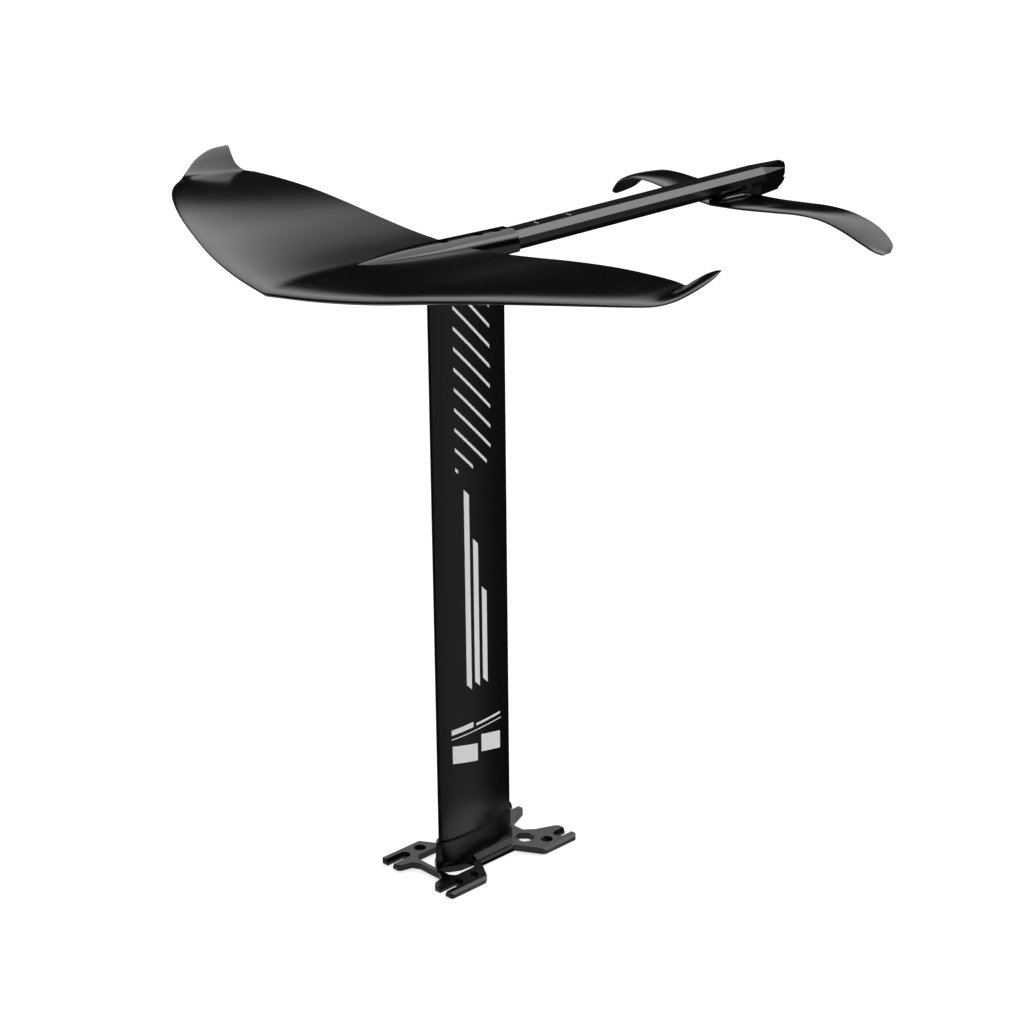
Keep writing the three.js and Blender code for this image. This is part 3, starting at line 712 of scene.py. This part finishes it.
def saddle_fillet():
    """The hollow curve between the saddle's sides and the stabilizer's upper surface."""
    lead, chord = STAB_LEAD[0][1], STAB_TRAIL[0][1] - STAB_LEAD[0][1]
    turn = np.linspace(0, math.pi / 2, 7)
    rings = []
    for y in np.linspace(lead + 9, lead + chord - 4, 24):
        half = float(np.interp(y, (381, 391, 404), (4, 7, SADDLE_HALF))) - 0.05
        u = (y - lead) / chord
        skin = STAB_LEAD[0][2] + chord * section_half(u, stab_ratio(0)) - 0.15
        fade = eased_step(y, lead + 8, lead + 20) * (1 - eased_step(y, lead + 48, lead + chord - 5))
        reach = 0.02 + min(7.0, 0.9 * (STAB_TOP - skin)) * fade
        hollow = [(half + reach * (1 - math.sin(a)), skin + reach * (1 - math.cos(a))) for a in turn[::-1]]
        right = hollow + [(half + reach, skin - 1.5)]
        right[0], right[-2] = (half, skin + reach), (half + reach, skin)
        rings.append([(x, y, z) for x, z in right + [(-x, z) for x, z in reversed(right)]])
    return loft("saddle_fillet", rings)


def rear_stabilizer():
    stations = np.concatenate([np.linspace(0, 0.5, 24)[:-1], np.linspace(0.5, 0.97, 44), [0.98, 0.99, 1]])
    wing = wing_surface("rear_stabilizer_skin", STAB_LEAD, STAB_TRAIL, stations, stab_ratio, 0, 32)
    join(wing, [saddle(), saddle_fillet()])
    plan = rectangle(-40, SADDLE_NOSE - OVER, 40, TAIL_END + OVER)
    above = slab("above", plan, STAB_TOP, STAB_TOP + 4 * OVER)
    seat = node_box("stabilizer_screw_front")[0][2] - HEAD_SUNK
    screws = [middle_of("stabilizer_screw_" + where) for where in ("front", "rear")]
    cut(wing, [above] + [countersunk_hole(y, seat, 20) for y in screws])
    return shaded(welded(wing), 28)


# ---------------------------------------------------------------- shapes: fasteners
def countersunk_hole(y, z, depth):
    """The cutter for a countersunk screw that enters a face at z."""
    head, shank = SCREW_HEAD_R + GAP + 0.1, BOLT_R + GAP + 0.1
    return turned("hole", [
        (0, z - 1), (head, z - 1), (head, z + 0.3), (shank, z + 3.4), (shank, z + depth), (0, z + depth),
    ], 0, y)


def thread(z0, z1, crest):
    """The ridges of a thread as (radius, z) pairs, from z0 to z1."""
    turns = max(1, int((z1 - z0) / THREAD_PITCH))
    pitch = (z1 - z0) / turns
    ridges = []
    for i in range(turns):
        ridges += [(crest - THREAD_DEPTH, z0 + i * pitch), (crest, z0 + (i + 0.5) * pitch)]
    return ridges + [(crest - THREAD_DEPTH, z1)]


def wing_bolt(node):
    """A socket-head cap bolt, threaded over its lower part."""
    low, high = node_box(node)
    y = middle_of(node)
    head_r, seat, top = high[0], high[2] - BOLT_HEAD_TALL, high[2]
    profile = [(0, low[2]), (BOLT_R - 0.8, low[2])] + thread(low[2] + 0.5, low[2] + 9, BOLT_R)
    profile += [
        (BOLT_R, low[2] + 9.6), (BOLT_R, seat), (head_r - 0.1, seat), (head_r, seat + 0.15),
        (head_r, top - 0.7), (head_r - 0.2, top - 0.25), (head_r - 0.7, top), (0, top),
    ]
    bolt = turned(node + "_piece", profile, 0, y)
    cut(bolt, [key_recess(BOLT_KEY, top - 3, top + 1, y)])
    return shaded(bolt, 30)


def washer(node):
    low, high = node_box(node)
    y = middle_of(node)
    ring = turned(node + "_piece", [
        (0, low[2]), (high[0] - 0.15, low[2]), (high[0], low[2] + 0.15), (high[0], high[2] - 0.15),
        (high[0] - 0.15, high[2]), (0, high[2]),
    ], 0, y)
    cut(ring, [drum("bore", BOLT_R + GAP, low[2] - 1, high[2] + 1, 0, y)])
    return shaded(ring, 30)


def thread_insert(node):
    """A sleeve with a ridged outside, as pressed or screwed into the bar."""
    low, high = node_box(node)
    y = middle_of(node)
    profile = [(0, low[2]), (INSERT_R - 0.5, low[2])] + thread(low[2] + 0.5, high[2] - 0.5, INSERT_R)
    sleeve = turned(node + "_piece", profile + [(INSERT_R - 0.5, high[2]), (0, high[2])], 0, y)
    cut(sleeve, [drum("bore", BOLT_R + GAP, low[2] - 1, high[2] + 1, 0, y)])
    return shaded(sleeve, 20)


def countersunk_screw(node):
    """A screw with a sunk conical head, threaded over its upper part."""
    low, high = node_box(node)
    y = middle_of(node)
    z = low[2] - HEAD_SUNK
    profile = [(0, low[2]), (SCREW_HEAD_R - 0.15, low[2]), (SCREW_HEAD_R, z + 0.6), (BOLT_R, z + 3.6)]
    profile += [(BOLT_R, z + 5)] + thread(z + 5.6, high[2] - 1, BOLT_R)
    profile += [(BOLT_R - 0.8, high[2]), (0, high[2])]
    screw = turned(node + "_piece", profile, 0, y)
    cut(screw, [key_recess(SCREW_KEY, z - 1, z + 2.4, y)])
    return shaded(screw, 30)


def machined_block(node):
    block = copy_of(node, node + "_piece")
    edges_rounded(block, 0.3, 30)
    return weighted(shaded(block, 40))


# ---------------------------------------------------------------- shapes: printed bars on the mast
INK_FOOT, INK_FACE = 0.012, 0.05  # heights of a bar's two sides above the metal


def ink_quad(corners, side, columns=14, rows=2):
    """Points and faces of one bar of ink: four (y, z) corners in order, lying on the mast's side."""
    corners = np.asarray(corners, float)
    points, faces = [], []
    for lift in (INK_FOOT, INK_FACE):
        for i in range(rows + 1):
            for j in range(columns + 1):
                t, s = i / rows, j / columns
                low = corners[0] * (1 - s) + corners[1] * s
                high = corners[3] * (1 - s) + corners[2] * s
                y, z = low * (1 - t) + high * t
                points.append((side * (float(mast_half(y)) + lift), y, z))
    size = (rows + 1) * (columns + 1)

    def index(layer, i, j):
        return layer * size + i * (columns + 1) + j

    for i in range(rows):
        for j in range(columns):
            cell = [(i, j), (i, j + 1), (i + 1, j + 1), (i + 1, j)]
            faces.append([index(1, a, b) for a, b in cell])
            faces.append([index(0, a, b) for a, b in reversed(cell)])
    rim = [(0, j) for j in range(columns)] + [(i, columns) for i in range(rows)]
    rim += [(rows, j) for j in range(columns, 0, -1)] + [(i, 0) for i in range(rows, 0, -1)]
    for k, here in enumerate(rim):
        after = rim[(k + 1) % len(rim)]
        faces.append([index(0, *here), index(0, *after), index(1, *after), index(1, *here)])
    return points, faces


def ink(name, quads):
    """All the bars of one print, on both sides of the mast."""
    points, faces = [], []
    for side in (1, -1):
        for quad in quads:
            new_points, new_faces = ink_quad(quad, side)
            faces += [[k + len(points) for k in face] for face in new_faces]
            points += new_points
    return shaded(outward(new_object(name, points, faces)), 40)


HATCH_FRONT, HATCH_REAR = -37.5, 19.5
HATCH_LOW, HATCH_HIGH = 482.7, 712.0
HATCH_FIRST, HATCH_COUNT = 486.7, 12
HATCH_PITCH, HATCH_TALL = 23.1, 4.1


def hatch_bars():
    """Bars that slope down towards the tail at 45 degrees, cut level at the pattern's foot and head."""
    quads = []
    for k in range(HATCH_COUNT):
        z_front = HATCH_FIRST + k * HATCH_PITCH
        y0, y1 = HATCH_FRONT, min(HATCH_REAR, HATCH_FRONT + z_front - HATCH_LOW)
        y0 = max(y0, HATCH_FRONT + z_front + HATCH_TALL - HATCH_HIGH)
        low = [(y, z_front - (y - HATCH_FRONT)) for y in (y0, y1)]
        high = [(y, z + HATCH_TALL) for y, z in low]
        quads.append([low[0], low[1], high[1], high[0]])
    return quads


def stripe_bars():
    """Three upright stripes of falling length, with sloping ends."""
    quads = []
    width, foot = 8.0, 217.0
    for y, top in ((-25.5, 462.0), (-12.1, 400.0), (1.3, 338.0)):
        quads.append([(y, foot + width), (y + width, foot), (y + width, top - width), (y, top)])
    return quads


def foot_bars():
    """A thin line across the mast, with short plain bars above and below it."""
    line = [(-49.5, 163.0), (32.0, 163.0), (32.0, 164.3), (-49.5, 164.3)]
    dash_a = [(-49.5, 169.0), (-16.0, 169.0), (-16.0, 175.5), (-49.5, 175.5)]
    dash_b = [(-11.0, 169.0), (30.5, 169.0), (30.5, 172.0), (-11.0, 172.0)]
    block_a = [(-48.5, 133.0), (-9.5, 124.0), (-9.5, 146.0), (-48.5, 155.0)]
    block_b = [(-3.0, 133.0), (30.0, 125.4), (30.0, 147.4), (-3.0, 155.0)]
    return [line, dash_a, dash_b, block_a, block_b]


def tick_marks():
    """Pale fill in the short grooves in the fuselage's top facet."""
    reach = TICK_HALF_LENGTH - 0.05
    points, faces = [], []
    for y in TICKS:
        start = len(points)
        plan = rectangle(-reach, y - TICK_HALF_WIDTH, reach, y + TICK_HALF_WIDTH)
        for z in (FUSE_TOP - TICK_DEPTH + 0.02, FUSE_TOP - 0.06):
            points += [(*corner, z) for corner in plan]
        corners = [(0, 1, 2, 3), (4, 5, 6, 7), (0, 1, 5, 4), (1, 2, 6, 5), (2, 3, 7, 6), (3, 0, 4, 7)]
        faces += [[start + k for k in face] for face in corners]
    marks = outward(new_object("fuselage_tick_fill", points, faces))
    return shaded(edges_rounded(marks, 0.12, 30), 40)


# ---------------------------------------------------------------- materials
class Shader:
    """A Principled material and short ways to add nodes to it."""

    def __init__(self, name, color, roughness, metallic=0.0, **sockets):
        self.material = bpy.data.materials.new(name)
        self.material.use_nodes = True
        self.tree = self.material.node_tree
        self.surface = self.tree.nodes["Principled BSDF"]
        self.put(self.surface, {"Base Color": (*color, 1), "Roughness": roughness, "Metallic": metallic})
        self.put(self.surface, {key.replace("_", " "): value for key, value in sockets.items()})

    def put(self, node, values):
        for key, value in values.items():
            if isinstance(value, bpy.types.NodeSocket):
                self.tree.links.new(value, node.inputs[key])
            else:
                node.inputs[key].default_value = value

    def node(self, kind, values=None, **settings):
        made = self.tree.nodes.new("ShaderNode" + kind)
        for key, value in settings.items():
            setattr(made, key, value)
        self.put(made, values or {})
        return made

    def place(self, scale=(1, 1, 1)):
        """Object coordinates, stretched by scale."""
        where = self.node("TexCoord").outputs["Object"]
        return self.node("Mapping", {"Vector": where, "Scale": scale}).outputs["Vector"]

    def noise(self, scale, detail=3.0, stretch=(1, 1, 1)):
        values = {"Vector": self.place(stretch), "Scale": scale, "Detail": detail}
        return self.node("TexNoise", values).outputs["Fac"]

    def ramp(self, value, low, high, from_low=0.3, from_high=0.7):
        """The value brought from one range to another."""
        values = {"Value": value, "From Min": from_low, "From Max": from_high, "To Min": low, "To Max": high}
        return self.node("MapRange", values).outputs["Result"]

    def tint(self, value, low, high):
        """A colour between low and high, as the value goes from 0 to 1; low may come from another node."""
        made = self.node("Mix", data_type="RGBA")
        start = low if isinstance(low, bpy.types.NodeSocket) else (*low, 1)
        self.put(made, {0: value, 6: start, 7: (*high, 1)})
        return made.outputs[2]

    def bump(self, layers):
        """Bumps on top of one another: (height, distance in metres, strength) each."""
        normal = None
        for height, distance, strength in layers:
            values = {"Height": height, "Distance": distance, "Strength": strength}
            if normal is not None:
                values["Normal"] = normal
            normal = self.node("Bump", values).outputs["Normal"]
        self.put(self.surface, {"Normal": normal})

    def edge_mask(self, radius):
        """1 on worn edges and 0 on flats, from how far a rounded normal leans from the true one."""
        rounded_normal = self.node("Bevel", {"Radius": radius}, samples=6).outputs["Normal"]
        true_normal = self.node("NewGeometry").outputs["Normal"]
        dot = self.node("VectorMath", {0: rounded_normal, 1: true_normal}, operation="DOT_PRODUCT")
        return self.ramp(dot.outputs["Value"], 1.0, 0.0, 0.88, 0.995)


def anodised(name, grain_stretch, dark, roughness, index):
    """Black anodised aluminium: fine grain drawn along the bar, paler where edges have rubbed."""
    shader = Shader(name, (dark, dark, dark), roughness, IOR=index)
    cloud = shader.noise(18, 4)
    body = shader.tint(shader.ramp(cloud, 0, 1), (dark * 0.8,) * 3, (dark * 1.25, dark * 1.27, dark * 1.33))
    rub = shader.ramp(shader.noise(140, 4), 0.0, 0.55)
    worn = shader.node("Math", {0: shader.edge_mask(0.0005), 1: rub}, operation="MULTIPLY").outputs[0]
    lines = shader.noise(900, 3, grain_stretch)
    shader.put(shader.surface, {
        "Base Color": shader.tint(worn, body, (0.09, 0.09, 0.095)),
        "Roughness": shader.ramp(lines, roughness - 0.035, roughness + 0.035),
    })
    shader.bump([(lines, 0.00002, 0.12), (shader.noise(5200, 2), 0.00001, 0.10)])
    return shader.material


def composite():
    """Satin black laminate: a nearly flat surface with a long soft ripple, fine haze and a little dust."""
    shader = Shader("satin_composite", (0.002, 0.002, 0.0022), 0.2, IOR=1.75)
    cloud = shader.noise(7, 4)
    fibre = shader.noise(260, 2, (0.12, 1.0, 1.0))
    speck = shader.ramp(shader.noise(2600, 1), 0.0, 1.0, 0.70, 0.78)
    body = shader.tint(shader.ramp(cloud, 0, 1), (0.0012, 0.0012, 0.0014), (0.0024, 0.0024, 0.0028))
    dust = shader.node("Math", {0: speck, 1: 0.35}, operation="MULTIPLY").outputs[0]
    shader.put(shader.surface, {
        "Base Color": shader.tint(dust, body, (0.012, 0.012, 0.013)),
        "Roughness": shader.ramp(fibre, 0.125, 0.155),
    })
    shader.bump([
        (shader.noise(30, 2), 0.00012, 0.10),
        (fibre, 0.00001, 0.06),
        (shader.noise(1500, 2), 0.000006, 0.05),
    ])
    return shader.material


def printed_ink():
    """Pale grey screen print, slightly broken where it has rubbed."""
    shader = Shader("pale_print", (0.82, 0.82, 0.83), 0.45)
    patch = shader.ramp(shader.noise(700, 5), 0.0, 1.0, 0.28, 0.42)
    shader.put(shader.surface, {
        "Base Color": shader.tint(patch, (0.66, 0.66, 0.67), (0.88, 0.88, 0.89)),
        "Roughness": shader.ramp(shader.noise(300, 3), 0.38, 0.52),
    })
    shader.bump([(shader.noise(3000, 2), 0.00001, 0.15)])
    return shader.material


def turned_steel(name, color, roughness):
    """Stainless or bare alloy with fine tool marks."""
    shader = Shader(name, color, roughness, 1.0)
    marks = shader.noise(4000, 3, (0.3, 0.3, 3.0))
    stain = shader.noise(160, 4)
    shader.put(shader.surface, {
        "Base Color": shader.tint(shader.ramp(stain, 0, 1), tuple(0.8 * c for c in color), color),
        "Roughness": shader.ramp(marks, roughness - 0.06, roughness + 0.08),
    })
    shader.bump([(marks, 0.00002, 0.2)])
    return shader.material


FLOOR_TONE = (0.80, 0.80, 0.80)
FLOOR_WHITE = (1.0, 1.0, 1.0, 1.0)
FLOOR_GLOW = 0.9
CARD_GREY = (0.46, 0.46, 0.46)
CARD_BLACK = (0.03, 0.03, 0.03)
# Each edge below is a pair of values between which one tone passes into the next: cosines of the angle
# from +X, and for the last one metres from the origin.
CARD_EDGE = (0.52, 0.72)
CARD_BEHIND, CARD_BEHIND_EDGE = 0.35, (-0.75, -0.60)
CARD_NEAR, CARD_NEAR_EDGE = 0.5, (0.11, 0.14)


def floor_finish():
    """A pale matt sweep, lit like a light table. Glossy surfaces mirror a set of cards in its place: grey
    towards +X, pale towards -X and close to the origin, and black between."""
    shader = Shader("pale_floor", FLOOR_TONE, 0.65, Specular_IOR_Level=0.0)
    tone = shader.ramp(shader.noise(1.5, 4), 0, 1)
    pale = shader.tint(tone, FLOOR_TONE, tuple(1.02 * c for c in FLOOR_TONE))
    shader.put(shader.surface, {"Base Color": pale, "Emission Color": pale, "Emission Strength": FLOOR_GLOW})
    place = shader.node("NewGeometry").outputs["Position"]
    flat = shader.node("VectorMath", {0: place, 1: (1, 1, 0)}, operation="MULTIPLY").outputs["Vector"]
    away = shader.node("VectorMath", {0: flat}, operation="NORMALIZE").outputs["Vector"]
    toward = shader.node("VectorMath", {0: away, 1: (1, 0, 0)}, operation="DOT_PRODUCT").outputs["Value"]
    grey = shader.ramp(toward, 0.0, 1.0, *CARD_EDGE)
    behind = shader.ramp(toward, CARD_BEHIND, 0.0, *CARD_BEHIND_EDGE)
    distance = shader.node("VectorMath", {0: flat}, operation="LENGTH").outputs["Value"]
    near = shader.ramp(distance, CARD_NEAR, 0.0, *CARD_NEAR_EDGE)
    tones = shader.tint(grey, CARD_BLACK, CARD_GREY)
    glow = shader.node("Math", {0: near, 1: behind}, operation="MAXIMUM").outputs[0]
    sent = shader.node("Emission", {"Color": FLOOR_WHITE, "Strength": glow})
    matt = shader.node("BsdfDiffuse", {"Color": tones})
    card = shader.node("AddShader", {0: matt.outputs[0], 1: sent.outputs[0]})
    ray = shader.node("LightPath").outputs
    lit = shader.node("Math", {0: ray["Is Camera Ray"], 1: ray["Is Diffuse Ray"]}, operation="MAXIMUM")
    pick = shader.node("MixShader", {0: lit.outputs[0]})
    shader.tree.links.new(card.outputs[0], pick.inputs[1])
    shader.tree.links.new(shader.surface.outputs[0], pick.inputs[2])
    shader.tree.links.new(pick.outputs[0], shader.tree.nodes["Material Output"].inputs["Surface"])
    return shader.material


# ---------------------------------------------------------------- stage, light and camera
FLOOR_REACH, FLOOR_STEPS = 30.0, 24
FLOOR_DROP = 0.0003  # the floor lies this far under the object, so that no faces coincide


def build_stage():
    steps = FLOOR_STEPS
    line = np.linspace(-FLOOR_REACH, FLOOR_REACH, steps + 1)
    points = [(x, y, -FLOOR_DROP) for y in line for x in line]
    faces = []
    for i in range(steps):
        for j in range(steps):
            a = i * (steps + 1) + j
            faces.append((a, a + 1, a + steps + 2, a + steps + 1))
    floor = new_object("floor", points, faces)
    floor.data.materials.append(floor_finish())


# Heights are sines of elevation. The dome is bright behind the object and dim in front of it.
DOME_HEIGHTS = (0.31, 0.51)
DOME_DARK, DOME_BRIGHT = 0.006, 1.35
DOME_CAP = (0.85, 0.97)
DOME_CAP_SHARE = 0.95
DOME_SIDE = (-0.34, 0.94, 0.0)
DOME_SIDE_RANGE = (-0.25, 0.35)
DOME_FRONT_SHARE = 0.05
# Each soft spot is a direction, its inner and outer angle, and its strength.
SOFT_SPOTS = (
    ((0.511, 0.646, 0.567), 4, 17, 1.6),
    ((0.05, 0.953, 0.299), 3, 15, 0.8),
)


def build_sky():
    """A studio dome: dark near the horizon, bright overhead, and plain white where the camera looks at it."""
    world = bpy.data.worlds.new("studio")
    bpy.context.scene.world = world
    world.use_nodes = True
    tree = world.node_tree
    tree.nodes.clear()

    def node(kind, values=None, **settings):
        made = tree.nodes.new("ShaderNode" + kind)
        for key, value in settings.items():
            setattr(made, key, value)
        for key, value in (values or {}).items():
            if isinstance(value, bpy.types.NodeSocket):
                tree.links.new(value, made.inputs[key])
            else:
                made.inputs[key].default_value = value
        return made

    def graded(value, start, full, low, high, kind="SMOOTHSTEP"):
        return node("MapRange", {
            "Value": value, "From Min": start, "From Max": full, "To Min": low, "To Max": high,
        }, interpolation_type=kind).outputs["Result"]

    def product(*factors):
        return node("Math", dict(enumerate(factors)), operation="MULTIPLY").outputs[0]

    def facing(toward):
        aim = tuple(Vector(toward).normalized())
        return node("VectorMath", {0: direction, 1: aim}, operation="DOT_PRODUCT").outputs["Value"]

    direction = node("TexCoord").outputs["Generated"]
    height = node("SeparateXYZ", {0: direction}).outputs["Z"]
    climb = graded(height, *DOME_HEIGHTS, 0.0, DOME_BRIGHT, "LINEAR")
    over = product(climb, graded(height, *DOME_CAP, 1.0, DOME_CAP_SHARE))
    behind = graded(facing(DOME_SIDE), *DOME_SIDE_RANGE, DOME_FRONT_SHARE, 1.0)
    total = node("Math", {0: over, 1: behind, 2: DOME_DARK}, operation="MULTIPLY_ADD").outputs[0]
    for toward, inner, outer, strength in SOFT_SPOTS:
        edges = (math.cos(math.radians(outer)), math.cos(math.radians(inner)))
        spot = graded(facing(toward), *edges, 0.0, strength)
        total = node("Math", {0: total, 1: spot}, operation="ADD").outputs[0]
    dome = node("Background", {"Color": (1, 1, 1, 1), "Strength": total})
    backdrop = node("Background", {"Color": (1, 1, 1, 1)})
    pick = node("MixShader", {0: node("LightPath").outputs["Is Camera Ray"]})
    tree.links.new(dome.outputs[0], pick.inputs[1])
    tree.links.new(backdrop.outputs[0], pick.inputs[2])
    tree.links.new(pick.outputs[0], node("OutputWorld").inputs["Surface"])


CAMERA_PLACE = (1.9402, -1.8068, 1.4517)
CAMERA_AZIMUTH = 46.17
CAMERA_ELEVATION = 21.15
CAMERA_ROLL = -0.55
CAMERA_LENS = 89.59


def build_camera():
    """The camera looks down its own -Z; azimuth 0 would look along +Y."""
    a, e, r = (math.radians(v) for v in (CAMERA_AZIMUTH, CAMERA_ELEVATION, CAMERA_ROLL))
    back = Vector((math.sin(a) * math.cos(e), -math.cos(a) * math.cos(e), math.sin(e)))
    right = Vector((math.cos(a), math.sin(a), 0))
    up = back.cross(right)
    turned_right = math.cos(r) * right + math.sin(r) * up
    turned_up = math.cos(r) * up - math.sin(r) * right
    data = bpy.data.cameras.new("camera")
    data.lens = CAMERA_LENS
    data.sensor_width = 36
    data.clip_end = 200
    camera = bpy.data.objects.new("camera", data)
    bpy.context.scene.collection.objects.link(camera)
    turn = Matrix((turned_right, turned_up, back)).transposed()
    camera.matrix_world = Matrix.Translation(CAMERA_PLACE) @ turn.to_4x4()
    bpy.context.scene.camera = camera


# ---------------------------------------------------------------- assembly
def build_object():
    plate_metal = anodised("plate_anodised", (1, 1, 1), 0.0015, 0.22, 1.5)
    bar_metal = anodised("bar_anodised", (1.0, 0.02, 1.0), 0.0012, 0.16, 1.75)
    mast_metal = anodised("mast_anodised", (1.0, 1.0, 0.02), 0.0025, 0.22, 1.5)
    laminate = composite()
    print_ink = printed_ink()
    steel = turned_steel("stainless", (0.50, 0.50, 0.52), 0.28)
    alloy = turned_steel("bare_alloy", (0.66, 0.67, 0.69), 0.34)

    as_piece(base_plate(), plate_metal, "anodised", "base_plate")
    as_piece(mast_skin(), mast_metal, "mast_finish", "mast_profile")
    as_piece(fuselage_bar(), bar_metal, "anodised", "fuselage")
    as_piece(front_wing(), laminate, "composite", "front_wing")
    as_piece(rear_stabilizer(), laminate, "composite", "rear_stabilizer")
    as_piece(ink("mast_hatch_print", hatch_bars()), print_ink, "mast_finish")
    as_piece(ink("mast_stripe_print", stripe_bars()), print_ink, "mast_finish")
    as_piece(ink("mast_foot_print", foot_bars()), print_ink, "mast_finish")
    as_piece(tick_marks(), print_ink, "anodised")
    for node in ("mast_foot_insert", "mast_head_insert"):
        as_piece(machined_block(node), alloy, "bare_alloy", node)
    for where in PLACES:
        for node, make in (
            ("wing_bolt_" + where, wing_bolt),
            ("wing_bolt_washer_" + where, washer),
            ("mast_foot_screw_" + where, countersunk_screw),
        ):
            as_piece(make(node), steel, "steel", node)
    for where in ("front", "rear"):
        node = "stabilizer_screw_" + where
        as_piece(countersunk_screw(node), steel, "steel", node)
        node = "stabilizer_thread_insert_" + where
        as_piece(thread_insert(node), steel, "steel", node)
    as_piece(thread_insert("wing_bolt_thread_insert"), steel, "steel", "wing_bolt_thread_insert")


build_camera()
build_sky()
build_stage()
build_object()
bpy.context.scene.view_settings.view_transform = "Standard"
